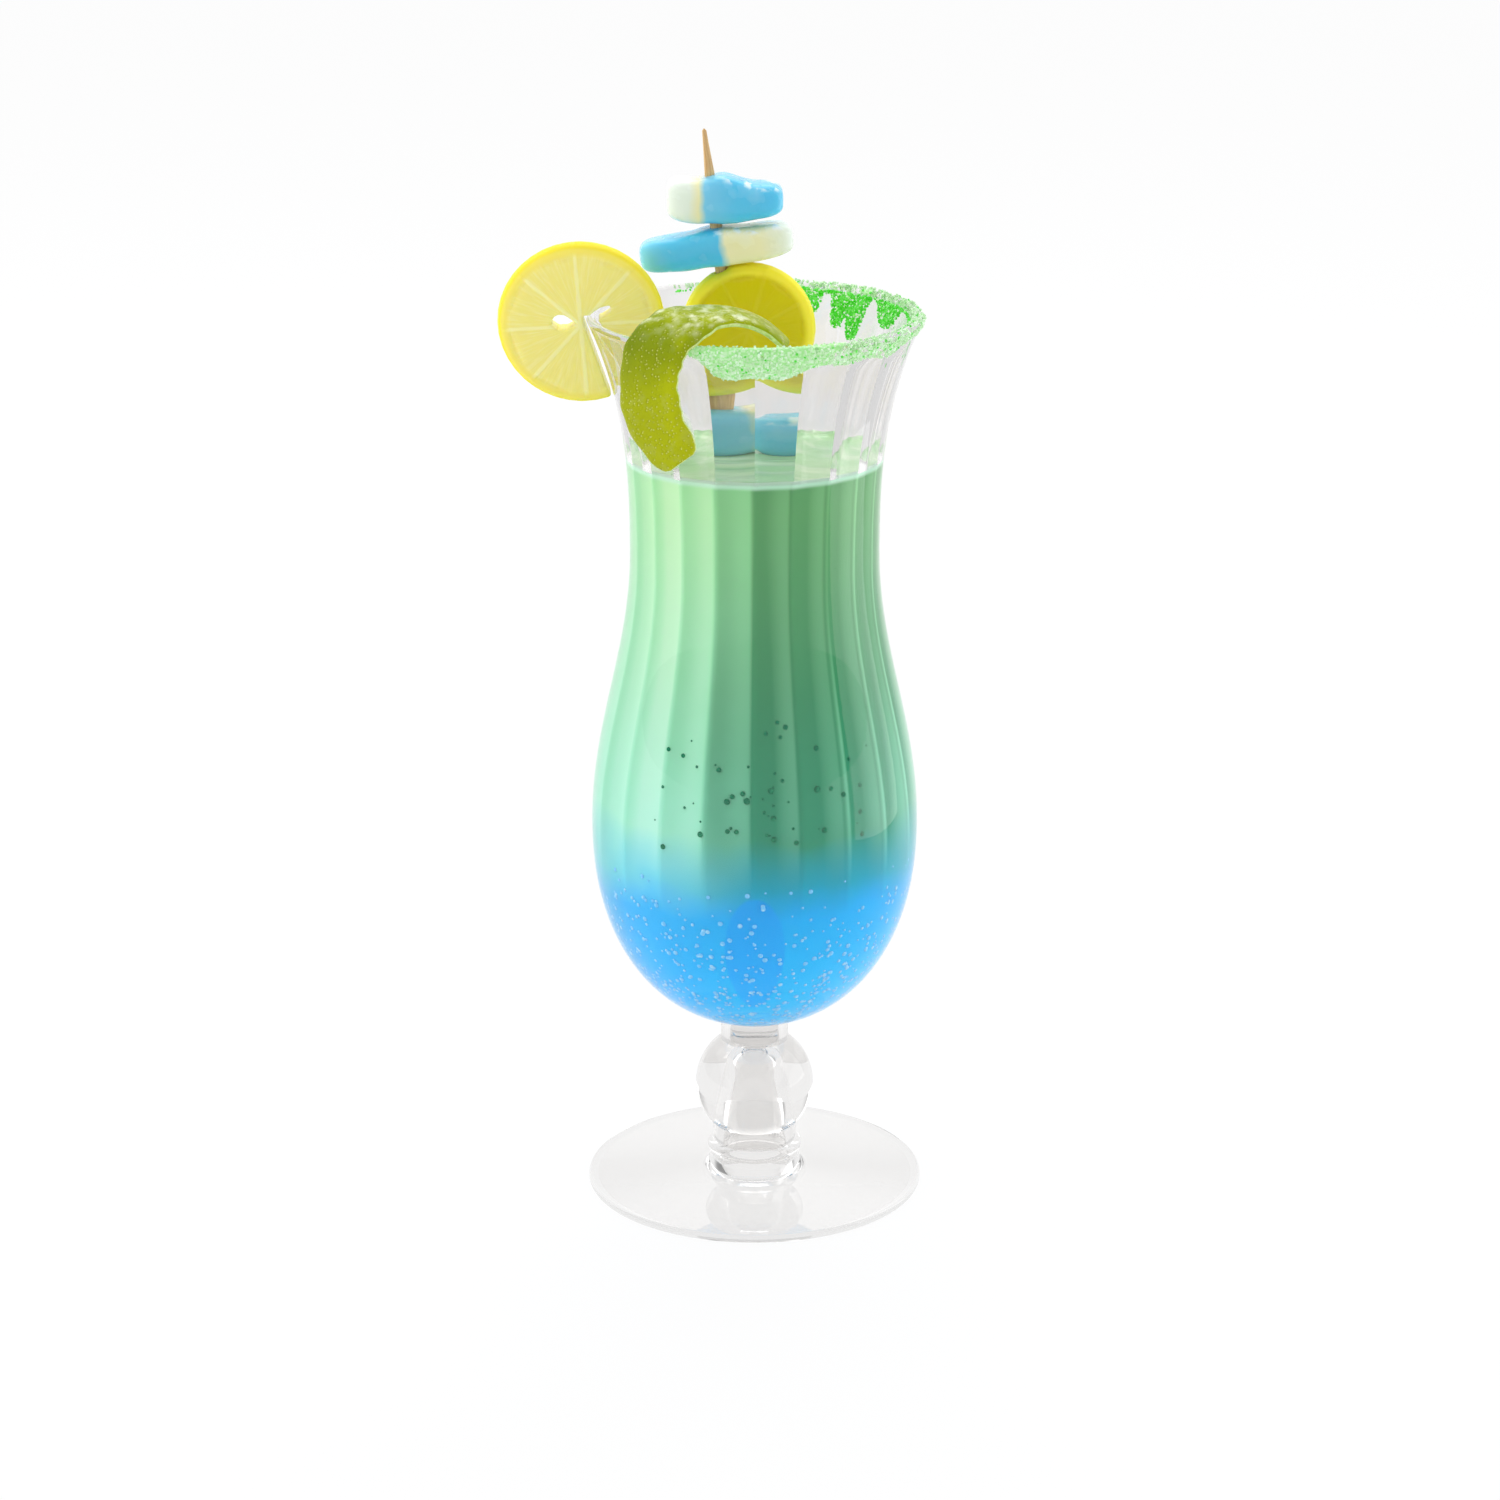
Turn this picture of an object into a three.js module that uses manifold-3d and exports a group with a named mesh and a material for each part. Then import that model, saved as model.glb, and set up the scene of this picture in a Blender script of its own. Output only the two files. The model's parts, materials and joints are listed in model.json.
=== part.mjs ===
// A tall hurricane-shaped drinking glass of clear plastic, dressed for serving.
// A fluted bowl plugs into a cored stem with a round foot. Sugar crusts the rim, a lemon wheel and
// a strip of lime peel hang on it, and a pick with candies and a lemon slice stands in the bowl.
// Millimetres, +Z up. The table is Z = 0 and the origin is the middle of the box around it all.

import * as THREE from 'three';
import { mergeVertices } from 'three/addons/utils/BufferGeometryUtils.js';
import Module from 'manifold-3d';

const wasm = await Module();
wasm.setup();

// Fits
const SEAT_GAP = 0.3; // between a piece and what carries it
const CUT_MARGIN = 1; // how far a cutting shape runs past the piece that it cuts

// Bowl
const RIM_HEIGHT = 208;
const RIM_RADIUS = 37.4;
const FLARE_POWER = 2.65; // how late the wall turns outward below the rim
const WAIST_HEIGHT = 154;
const WAIST_RADIUS = 28.25;
const BELLY_HEIGHT = 89.3;
const BELLY_RADIUS = 37.5;
const BASE_HEIGHT = 40.7; // underside of the bowl on the axis
const BASE_ROUNDNESS = 2.2; // exponent of the rounded base, where 2 is an ellipse
const WALL = 2; // wall between two flutes, and at the rim
const FLOOR = 3.5;
const FLUTES = 20;
const FLUTE_DEPTH = 0.9; // extra wall in the middle of a flute
const FLUTE_FOOT = 78; // height where the flutes run out
const FLUTE_RUNOUT = 12;
const FLUTE_HEAD = 5; // below the rim, where the flutes reach their full depth
const SPIGOT_RADIUS = 5.6;
const SPIGOT_LENGTH = 5.7;
const SPIGOT_CHAMFER = 0.5;

// Stem and foot
const NECK_RADIUS = 7.9;
const BALL_HEIGHT = 24;
const BALL_RADIUS = 13.8;
const GROOVE_HEIGHT = 12.2; // drawn-in ring under the ball
const GROOVE_RADIUS = 9.9;
const BEAD_HEIGHT = 9.2;
const BEAD_RADIUS = 11;
const RISER_HEIGHT = 6.4;
const RISER_RADIUS = 10.2;
const FOOT_RADIUS = 39.2;
const FOOT_EDGE = 2; // thickness of the foot at its edge
const FOOT_CROWN = 3.6; // top of the foot where it meets the riser
const FOOT_FILLET = 2.6;
const FOOT_DISH = 1.4; // hollow under the foot at the core's mouth
const REST_INNER_RADIUS = 36.8; // the foot stands on the flat ring outside this
const FOOT_ROUND = 0.8;
const CORE_TOP = 31;
const CORE_TOP_RADIUS = 4.8;
const CORE_MOUTH_RADIUS = 8.4;

// Sugar crust
const SUGAR_START = -108; // degrees round the rim, 0 at the right, -90 at the front
const SUGAR_END = 122;
const SUGAR_THICKNESS = 1;
const SUGAR_DROP = 4.4; // how far the crust reaches down the wall, on average
const SUGAR_WAVE = 1.4; // how much that varies
const SUGAR_WAVES_OUTSIDE = 7; // waves of the lower edge in a whole turn
const SUGAR_WAVES_INSIDE = 5;
const SUGAR_FADE = 0.08; // share of its length over which the crust thins to each end
const SUGAR_THIN = 0.4; // share of its thickness that is left at its edges and ends

// Lemon
const LEMON_SEGMENTS = 8;
const LEMON_RIND = 2.6;
const LEMON_MEMBRANE = 0.9;
const LEMON_HEART = 2.2; // radius where the segments end
const LEMON_RELIEF = 0.4; // how far the flesh lies below the membranes
const LEMON_EDGE = 0.6; // rounding of the rind's edge, as a share of half the thickness
const WHEEL_RADIUS = 18.7;
const WHEEL_THICKNESS = 4.6;
const WHEEL_OVERHANG = 1.2; // wheel centre outside the rim
const WHEEL_DROP = 1.9; // wheel centre below the rim
const WHEEL_TILT = 8; // degrees, top towards the front
const WHEEL_PLAY = 0.7; // between the wall and each side of the slit
const WHEEL_TURN = 4; // degrees
const PARTED_FLESH = [
  { length: 6.6, width: 3.4, turn: 172 }, // gaps beside the heart, turned up from the right
  { length: 8, width: 2.2, turn: 30 },
];
const SLICE_RADIUS = 15.1;
const SLICE_THICKNESS = 6;
const SLICE_TURN = 22;

// Lime peel
const PEEL_WIDTH = 14.5;
const PEEL_THICKNESS = 2.2;
const PEEL_TIP = 0.45; // width at the ends, as a share of the full width
const PEEL_TAPER = 6; // how late the width falls off towards the ends

// The strip's middle, from its end outside the glass, up over the rim and down to its end inside.
// Each station is a place by the rim, in degrees round it, outward and up from it, and the
// direction across the strip there.
const PEEL_ROUTE = [
  { turn: -112.5, out: 3.8, up: -25, across: [0.8, -0.3, 0.5] },
  { turn: -121, out: 4.1, up: -17, across: [0.87, -0.45, 0.2] },
  { turn: -124, out: 3.7, up: -9, across: [0.87, -0.5, 0] },
  { turn: -123, out: 2, up: -1.5, across: [0.8, -0.55, -0.2] },
  { turn: -119, out: -1.8, up: 3, across: [0.62, -0.72, -0.3] },
  { turn: -112, out: -7.8, up: 4.8, across: [0.4, -0.88, -0.1] },
  { turn: -100, out: -12.8, up: 4.2, across: [0.2, -0.95, 0] },
  { turn: -85, out: -15.3, up: 1.4, across: [0.15, -0.95, 0] },
  { turn: -73, out: -15.5, up: -2.6, across: [0.1, -0.97, 0] },
];

// Pick and what is on it
const PICK_RADIUS = 1.4;
const PICK_LENGTH = 201;
const PICK_POINT = 15; // length of the tapered point
const PICK_TIP_RADIUS = 0.45;
const PICK_LEAN = 6.8; // degrees, tip to the left
const PICK_ACROSS_RIM = -6.5; // where it passes the height of the rim, right of the axis
const PICK_BEHIND = 8; // behind the axis
const GUMMY_DEPTH = 11;
const GUMMY_SQUARENESS = 4; // exponent of the candies' rounding, where 2 is an ellipsoid
const GUMMY_DIP = 0.16; // between two humps, as a share of the upper half's height
const GUMMY_UNDERSIDE = 0.9; // lower half's height, as a share of the upper half's
const GUMMY_TOP = {
  fromTip: 15.8, length: 26, height: 11.4, tilt: 0, shift: 2.7, humps: 2, taper: 0.3,
};
const GUMMY_MIDDLE = {
  fromTip: 26.5, length: 34.4, height: 9, tilt: -8, shift: -0.4, humps: 2, taper: 0,
};
const SLICE_FROM_TIP = 45.8;
const SLICE_SHIFT = 4.5; // slice's middle, right of the pick
const GUMMY_BOTTOM = {
  fromTip: 68.7, length: 22, height: 11.4, tilt: 6, shift: 0.5, humps: 2, taper: 0.1,
};

// Facets
const FLUTE_STEPS = 4;
const WALL_STEPS = 6;
const ROUND_STEPS = 40;
const SUGAR_STEPS = 38;
const SEGMENT_STEPS = 3;
const PEEL_STEPS = 36;
const PEEL_SIDES = 8;
const PICK_SIDES = 16;
const GUMMY_SIDES = 20;
const GUMMY_RINGS = 12;

const rad = THREE.MathUtils.degToRad;
const clamp01 = (value) => THREE.MathUtils.clamp(value, 0, 1);

// Outer radius of the bowl at a height: rounded base, belly drawn in to the waist, flared rim
const LIP_HEIGHT = RIM_HEIGHT - WALL / 2;

function outerRadius(height) {
  if (height < BELLY_HEIGHT) {
    return baseRadius(height, BELLY_RADIUS, BELLY_HEIGHT - BASE_HEIGHT);
  }
  if (height < WAIST_HEIGHT) {
    const rise = (height - BELLY_HEIGHT) / (WAIST_HEIGHT - BELLY_HEIGHT);
    const swell = (1 + Math.cos(Math.PI * rise)) / 2;
    return WAIST_RADIUS + (BELLY_RADIUS - WAIST_RADIUS) * swell;
  }
  const rise = (height - WAIST_HEIGHT) / (LIP_HEIGHT - WAIST_HEIGHT);
  return WAIST_RADIUS + (RIM_RADIUS - WAIST_RADIUS) * Math.pow(rise, FLARE_POWER);
}

function baseRadius(height, radius, depth) {
  const fall = clamp01((BELLY_HEIGHT - height) / depth);
  return radius * Math.pow(1 - Math.pow(fall, BASE_ROUNDNESS), 1 / BASE_ROUNDNESS);
}

// Height of the rounded base at a radius
function baseHeight(radius) {
  const share = Math.pow(radius / BELLY_RADIUS, BASE_ROUNDNESS);
  const fall = Math.pow(1 - share, 1 / BASE_ROUNDNESS);
  return BELLY_HEIGHT - (BELLY_HEIGHT - BASE_HEIGHT) * fall;
}

// Inner radius between two flutes
function innerRadius(height) {
  if (height < BELLY_HEIGHT) {
    return baseRadius(height, BELLY_RADIUS - WALL, BELLY_HEIGHT - BASE_HEIGHT - FLOOR);
  }
  return outerRadius(height) - WALL;
}

// Share of the full flute depth at a height
function fluteShare(height) {
  const head = clamp01((LIP_HEIGHT - height) / FLUTE_HEAD);
  const foot = Math.sqrt(clamp01((height - FLUTE_FOOT) / FLUTE_RUNOUT));
  return head * foot;
}

// Inner radius in the middle of a flute, where the wall is thickest
function narrowRadius(height) {
  return innerRadius(height) - FLUTE_DEPTH * fluteShare(height);
}

// Closed meshes and cuts

// A geometry with shared corners merged and the triangles that collapse on the axis left out
function weld(geometry) {
  const bare = new THREE.BufferGeometry();
  bare.setAttribute('position', geometry.getAttribute('position'));
  bare.setIndex(geometry.index);
  const merged = mergeVertices(bare, 1e-4);
  const corners = merged.index.array;
  const kept = [];
  for (let i = 0; i < corners.length; i += 3) {
    const [a, b, c] = corners.slice(i, i + 3);
    if (a !== b && b !== c && c !== a) kept.push(a, b, c);
  }
  merged.setIndex(kept);
  return merged;
}

function toSolid(geometry) {
  const welded = weld(geometry);
  const vertProperties = new Float32Array(welded.getAttribute('position').array);
  const triVerts = new Uint32Array(welded.index.array);
  return new wasm.Manifold(new wasm.Mesh({ numProp: 3, vertProperties, triVerts }));
}

function fromSolid(solid) {
  const { vertProperties, triVerts } = solid.getMesh();
  const geometry = new THREE.BufferGeometry();
  geometry.setAttribute('position', new THREE.BufferAttribute(vertProperties, 3));
  geometry.setIndex(new THREE.BufferAttribute(triVerts, 1));
  return geometry;
}

function cut(geometry, cutters) {
  let solid = toSolid(geometry);
  for (const cutter of cutters) solid = solid.subtract(toSolid(cutter));
  return fromSolid(solid);
}

// A profile of [radius, height] points turned round the Z axis
function turned(profile, steps) {
  const points = profile.map(([radius, height]) => new THREE.Vector2(radius, height));
  return new THREE.LatheGeometry(points, steps).rotateX(Math.PI / 2);
}

// A solid skinned over rings of points, all with the same number of points.
// Each end is closed by the triangles that `cap` gives as indices into a ring.
function skinned(rings, cap) {
  const count = rings[0].length;
  const position = rings.flat().flatMap((point) => point.toArray());
  const index = [];
  for (let ring = 0; ring + 1 < rings.length; ring++) {
    for (let i = 0; i < count; i++) {
      const a = ring * count + i;
      const b = ring * count + ((i + 1) % count);
      index.push(a, b + count, b, a, a + count, b + count);
    }
  }
  const last = (rings.length - 1) * count;
  for (const [a, b, c] of cap) index.push(a, b, c, last + a, last + c, last + b);
  const geometry = new THREE.BufferGeometry();
  geometry.setAttribute('position', new THREE.Float32BufferAttribute(position, 3));
  geometry.setIndex(index);
  return geometry;
}

// A flat shape drawn in X and Z, as thick as `depth` along Y and centred on it
function plate(shape, depth) {
  const options = { depth, bevelEnabled: false, curveSegments: SEGMENT_STEPS };
  return new THREE.ExtrudeGeometry(shape, options).translate(0, 0, -depth / 2).rotateX(Math.PI / 2);
}

// Heights and radii down the rounded base from the belly, ending at an end radius
function baseCurve(radius, depth, endRadius) {
  const end = Math.acos(Math.pow(endRadius / radius, BASE_ROUNDNESS / 2));
  const points = [];
  for (let i = 1; i <= WALL_STEPS; i++) {
    const angle = (end * i) / WALL_STEPS;
    const out = Math.pow(Math.max(Math.cos(angle), 0), 2 / BASE_ROUNDNESS);
    const down = Math.pow(Math.sin(angle), 2 / BASE_ROUNDNESS);
    points.push([i === WALL_STEPS ? endRadius : radius * out, BELLY_HEIGHT - depth * down]);
  }
  return points;
}

// Heights up the side of the bowl from the belly to the lip
function sideHeights() {
  const heights = [];
  for (let i = 0; i < WALL_STEPS; i++) {
    heights.push(THREE.MathUtils.lerp(BELLY_HEIGHT, WAIST_HEIGHT, i / WALL_STEPS));
  }
  for (let i = 0; i <= WALL_STEPS; i++) {
    heights.push(THREE.MathUtils.lerp(WAIST_HEIGHT, LIP_HEIGHT, i / WALL_STEPS));
  }
  return heights;
}

function bowl() {
  const spigotEnd = BASE_HEIGHT - SPIGOT_LENGTH;
  const profile = [
    [0, spigotEnd],
    [SPIGOT_RADIUS - SPIGOT_CHAMFER, spigotEnd],
    [SPIGOT_RADIUS, spigotEnd + SPIGOT_CHAMFER],
  ];
  profile.push(...baseCurve(BELLY_RADIUS, BELLY_HEIGHT - BASE_HEIGHT, SPIGOT_RADIUS).reverse());
  const heights = sideHeights();
  for (const height of heights) profile.push([outerRadius(height), height]);
  for (const angle of [45, 90, 135]) {
    const middle = RIM_RADIUS - WALL / 2;
    const round = (WALL / 2) * Math.cos(rad(angle));
    profile.push([middle + round, LIP_HEIGHT + (WALL / 2) * Math.sin(rad(angle))]);
  }
  const innerStart = profile.length;
  for (const height of heights.reverse()) profile.push([innerRadius(height), height]);
  profile.push(...baseCurve(BELLY_RADIUS - WALL, BELLY_HEIGHT - BASE_HEIGHT - FLOOR, 0));

  // The flutes swell the inner wall between their edges
  const steps = FLUTES * FLUTE_STEPS;
  const geometry = turned(profile, steps);
  const position = geometry.getAttribute('position');
  for (let step = 0; step <= steps; step++) {
    const across = (2 * (step % FLUTE_STEPS)) / FLUTE_STEPS - 1;
    const swell = FLUTE_DEPTH * (1 - across * across);
    for (let i = innerStart; i < profile.length; i++) {
      const [radius, height] = profile[i];
      if (radius === 0) continue;
      const vertex = step * profile.length + i;
      const share = 1 - (swell * fluteShare(height)) / radius;
      position.setX(vertex, position.getX(vertex) * share);
      position.setY(vertex, position.getY(vertex) * share);
    }
  }
  return weld(geometry);
}

function stemAndFoot() {
  const socketRadius = SPIGOT_RADIUS + SEAT_GAP;
  const socketFloor = BASE_HEIGHT - SPIGOT_LENGTH - SEAT_GAP;
  const profile = [
    [0, CORE_TOP],
    [CORE_TOP_RADIUS * Math.SQRT1_2, CORE_TOP - CORE_TOP_RADIUS * (1 - Math.SQRT1_2)],
    [CORE_TOP_RADIUS, CORE_TOP - CORE_TOP_RADIUS],
    [CORE_MOUTH_RADIUS, FOOT_DISH],
    [REST_INNER_RADIUS, 0],
    [FOOT_RADIUS - FOOT_ROUND, 0],
    [FOOT_RADIUS, FOOT_ROUND],
    [FOOT_RADIUS, FOOT_EDGE - FOOT_ROUND / 2],
    [FOOT_RADIUS - FOOT_ROUND, FOOT_EDGE],
  ];
  for (const angle of [90, 60, 30, 0]) {
    const run = RISER_RADIUS + FOOT_FILLET * (1 - Math.cos(rad(angle)));
    profile.push([run, FOOT_CROWN + FOOT_FILLET * (1 - Math.sin(rad(angle)))]);
  }
  profile.push([RISER_RADIUS, RISER_HEIGHT]);
  profile.push([BEAD_RADIUS, (RISER_HEIGHT + BEAD_HEIGHT) / 2]);
  profile.push([BEAD_RADIUS, BEAD_HEIGHT]);
  profile.push([GROOVE_RADIUS, (BEAD_HEIGHT + GROOVE_HEIGHT) / 2]);
  const lowest = -Math.acos(GROOVE_RADIUS / BALL_RADIUS);
  const highest = Math.acos(NECK_RADIUS / BALL_RADIUS);
  for (let i = 0; i <= WALL_STEPS + 1; i++) {
    const angle = THREE.MathUtils.lerp(lowest, highest, i / (WALL_STEPS + 1));
    profile.push([BALL_RADIUS * Math.cos(angle), BALL_HEIGHT + BALL_RADIUS * Math.sin(angle)]);
  }
  profile.push([NECK_RADIUS, baseHeight(NECK_RADIUS) - SEAT_GAP]);
  profile.push([socketRadius, baseHeight(socketRadius) - SEAT_GAP]);
  profile.push([socketRadius, socketFloor]);
  profile.push([0, socketFloor]);
  return weld(turned(profile, ROUND_STEPS));
}

// A crust that saddles the rim, thin at its wavy lower edges
function sugarRim() {
  const rings = [];
  for (let step = 0; step <= SUGAR_STEPS; step++) {
    const turn = rad(THREE.MathUtils.lerp(SUGAR_START, SUGAR_END, step / SUGAR_STEPS));
    const out = new THREE.Vector3(Math.cos(turn), Math.sin(turn), 0);
    const ends = Math.min(step, SUGAR_STEPS - step) / SUGAR_STEPS;
    const fade = THREE.MathUtils.lerp(SUGAR_THIN, 1, clamp01(ends / SUGAR_FADE));
    const drop = fade * (SUGAR_DROP + SUGAR_WAVE * Math.sin(SUGAR_WAVES_OUTSIDE * turn));
    const dropInside = fade * (SUGAR_DROP + SUGAR_WAVE * Math.sin(SUGAR_WAVES_INSIDE * turn));
    const station = (edge, height, tilt, share) => ({ radius: edge(height), height, tilt, share });
    const middle = RIM_RADIUS - WALL / 2;
    const stations = [
      station(outerRadius, LIP_HEIGHT - drop, 0, SUGAR_THIN),
      station(outerRadius, LIP_HEIGHT - drop / 2, 0, 1),
      ...[0, 45, 90, 135, 180].map((tilt) => ({
        radius: middle + (WALL / 2) * Math.cos(rad(tilt)),
        height: LIP_HEIGHT + (WALL / 2) * Math.sin(rad(tilt)),
        tilt,
        share: 1,
      })),
      station(narrowRadius, LIP_HEIGHT - dropInside / 2, 180, 1),
      station(narrowRadius, LIP_HEIGHT - dropInside, 180, SUGAR_THIN),
    ];
    const place = ({ radius, height, tilt }, off) => {
      const reach = radius + off * Math.cos(rad(tilt));
      return out.clone().multiplyScalar(reach).setZ(height + off * Math.sin(rad(tilt)));
    };
    const thickness = SUGAR_THICKNESS * fade;
    const face = stations.map((spot) => place(spot, SEAT_GAP + thickness * spot.share));
    const seat = stations.map((spot) => place(spot, SEAT_GAP));
    rings.push([...face, ...seat.reverse()]);
  }
  const points = rings[0].length;
  const cap = [];
  for (let i = 0; i + 1 < points / 2; i++) {
    const across = points - 1 - i;
    cap.push([i, i + 1, across - 1], [i, across - 1, across]);
  }
  return weld(skinned(rings, cap));
}

// A round of lemon standing in the XZ plane, with the flesh sunk between rind and membranes
function lemonRound(radius, thickness, turn) {
  const half = thickness / 2;
  const edge = half * LEMON_EDGE;
  const profile = [[0, -half], [radius - edge, -half]];
  for (const angle of [-45, 0, 45]) {
    profile.push([radius - edge + edge * Math.cos(rad(angle)), half * Math.sin(rad(angle))]);
  }
  profile.push([radius - edge, half], [0, half]);
  const round = turned(profile, ROUND_STEPS).rotateX(Math.PI / 2);
  const cutters = [];
  for (let i = 0; i < LEMON_SEGMENTS; i++) {
    const sector = (2 * Math.PI) / LEMON_SEGMENTS;
    const outer = radius - LEMON_RIND;
    const inset = LEMON_MEMBRANE / 2 / outer;
    const shape = new THREE.Shape();
    shape.moveTo(LEMON_HEART * Math.cos(sector / 2), LEMON_HEART * Math.sin(sector / 2));
    shape.absarc(0, 0, outer, inset, sector - inset, false);
    shape.closePath();
    for (const side of [-1, 1]) {
      const segment = plate(shape, 2 * LEMON_RELIEF).rotateY(i * sector + rad(turn));
      cutters.push(segment.translate(0, side * half, 0));
    }
  }
  return { round, cutters };
}

// The slit in the wheel is the path of the wall through it while the wheel slides off the rim
const WHEEL_REACH = RIM_RADIUS + WHEEL_OVERHANG + WHEEL_RADIUS;
const WHEEL_BOTTOM = RIM_HEIGHT - WHEEL_DROP - WHEEL_RADIUS;
const WHEEL_SLOPE = (RIM_RADIUS - outerRadius(WHEEL_BOTTOM)) / (LIP_HEIGHT - WHEEL_BOTTOM);

function wheelSlit() {
  const outside = [];
  const inside = [];
  const centre = RIM_RADIUS + WHEEL_OVERHANG;
  const lift = (height, edge) => {
    const reach = [];
    for (let i = 0; i <= WALL_STEPS; i++) {
      const rise = ((LIP_HEIGHT - height) * i) / WALL_STEPS;
      reach.push(edge(height + rise) - WHEEL_SLOPE * rise);
    }
    return reach;
  };
  const lowest = WHEEL_BOTTOM - CUT_MARGIN;
  for (let i = 0; i <= WALL_STEPS; i++) {
    const height = THREE.MathUtils.lerp(LIP_HEIGHT, lowest, i / WALL_STEPS);
    const level = height - (RIM_HEIGHT - WHEEL_DROP);
    const most = Math.max(...lift(height, outerRadius)) + WHEEL_PLAY;
    const least = Math.min(...lift(height, narrowRadius)) - WHEEL_PLAY;
    outside.push(new THREE.Vector2(centre - most, level));
    inside.push(new THREE.Vector2(centre - least, level));
  }
  const top = WHEEL_DROP + SEAT_GAP;
  const crown = [new THREE.Vector2(inside[0].x, top), new THREE.Vector2(outside[0].x, top)];
  const outline = new THREE.Shape([...crown, ...outside, ...inside.reverse()]);
  return plate(outline, WHEEL_THICKNESS + CUT_MARGIN);
}

// A gap beside the heart of the wheel where the flesh has parted
function partedFlesh({ length, width, turn }) {
  const shape = new THREE.Shape();
  shape.moveTo(LEMON_HEART / 3, 0);
  shape.quadraticCurveTo(length * 0.6, width, length, width * 0.3);
  shape.quadraticCurveTo(length, -width * 0.6, length * 0.6, -width * 0.5);
  shape.closePath();
  return plate(shape, WHEEL_THICKNESS + CUT_MARGIN).rotateY(-rad(turn));
}

function lemonWheel() {
  const { round, cutters } = lemonRound(WHEEL_RADIUS, WHEEL_THICKNESS, WHEEL_TURN);
  cutters.push(wheelSlit(), ...PARTED_FLESH.map(partedFlesh));
  return cut(round, cutters);
}

// The bore that a piece on the pick is pushed onto, along its own Z axis
function pickBore(length) {
  const half = length / 2 + CUT_MARGIN;
  const bore = PICK_RADIUS + SEAT_GAP;
  return turned([[0, -half], [bore, -half], [bore, half], [0, half]], PICK_SIDES);
}

function lemonSlice() {
  const { round, cutters } = lemonRound(SLICE_RADIUS, SLICE_THICKNESS, SLICE_TURN);
  return cut(round, [...cutters, pickBore(2 * SLICE_RADIUS).translate(-SLICE_SHIFT, 0, 0)]);
}

// A moulded candy with round ends and humps along its top, thinner towards its right end by a taper
function gummy({ length, height, tilt, shift, humps, taper }) {
  const ball = new THREE.SphereGeometry(1, GUMMY_SIDES, GUMMY_RINGS).rotateX(Math.PI / 2);
  const geometry = weld(ball);
  const position = geometry.getAttribute('position');
  const size = new THREE.Vector3(length / 2, GUMMY_DEPTH / 2, height / 2);
  const point = new THREE.Vector3();
  for (let i = 0; i < position.count; i++) {
    point.fromBufferAttribute(position, i);
    const sum = point.toArray().reduce((all, x) => all + Math.abs(x) ** GUMMY_SQUARENESS, 0);
    point.multiplyScalar(sum ** (-1 / GUMMY_SQUARENESS));
    const dip = (GUMMY_DIP / 2) * (1 - Math.cos(Math.PI * humps * point.x));
    point.z *= point.z > 0 ? 1 - dip : GUMMY_UNDERSIDE;
    point.z *= 1 - taper * Math.max(point.x, 0);
    point.multiply(size);
    position.setXYZ(i, ...point);
  }
  geometry.translate(shift, 0, 0).rotateY(rad(PICK_LEAN + tilt));
  return cut(geometry, [pickBore(2 * height)]);
}

// Height where the lower end of the leaning pick meets the inside of the bowl
function pickStand() {
  const slope = Math.tan(rad(PICK_LEAN));
  let low = BASE_HEIGHT + FLOOR;
  let high = BELLY_HEIGHT;
  for (let i = 0; i < 40; i++) {
    const height = (low + high) / 2;
    const right = PICK_ACROSS_RIM + (RIM_HEIGHT - height) * slope;
    const reach = Math.hypot(right, PICK_BEHIND) + PICK_RADIUS + SEAT_GAP;
    if (reach > innerRadius(height)) low = height;
    else high = height;
  }
  return high;
}

function pick() {
  return weld(turned([
    [0, -PICK_LENGTH],
    [PICK_RADIUS, -PICK_LENGTH],
    [PICK_RADIUS, -PICK_POINT],
    [PICK_TIP_RADIUS, -PICK_TIP_RADIUS],
    [0, 0],
  ], PICK_SIDES));
}

function peelCurves() {
  const places = PEEL_ROUTE.map(({ turn, out, up }) => {
    const reach = RIM_RADIUS + out;
    return new THREE.Vector3(reach * Math.cos(rad(turn)), reach * Math.sin(rad(turn)), up);
  });
  const sides = PEEL_ROUTE.map(({ across }) => new THREE.Vector3(...across));
  return { middle: new THREE.CatmullRomCurve3(places), sides: new THREE.CatmullRomCurve3(sides) };
}

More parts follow.
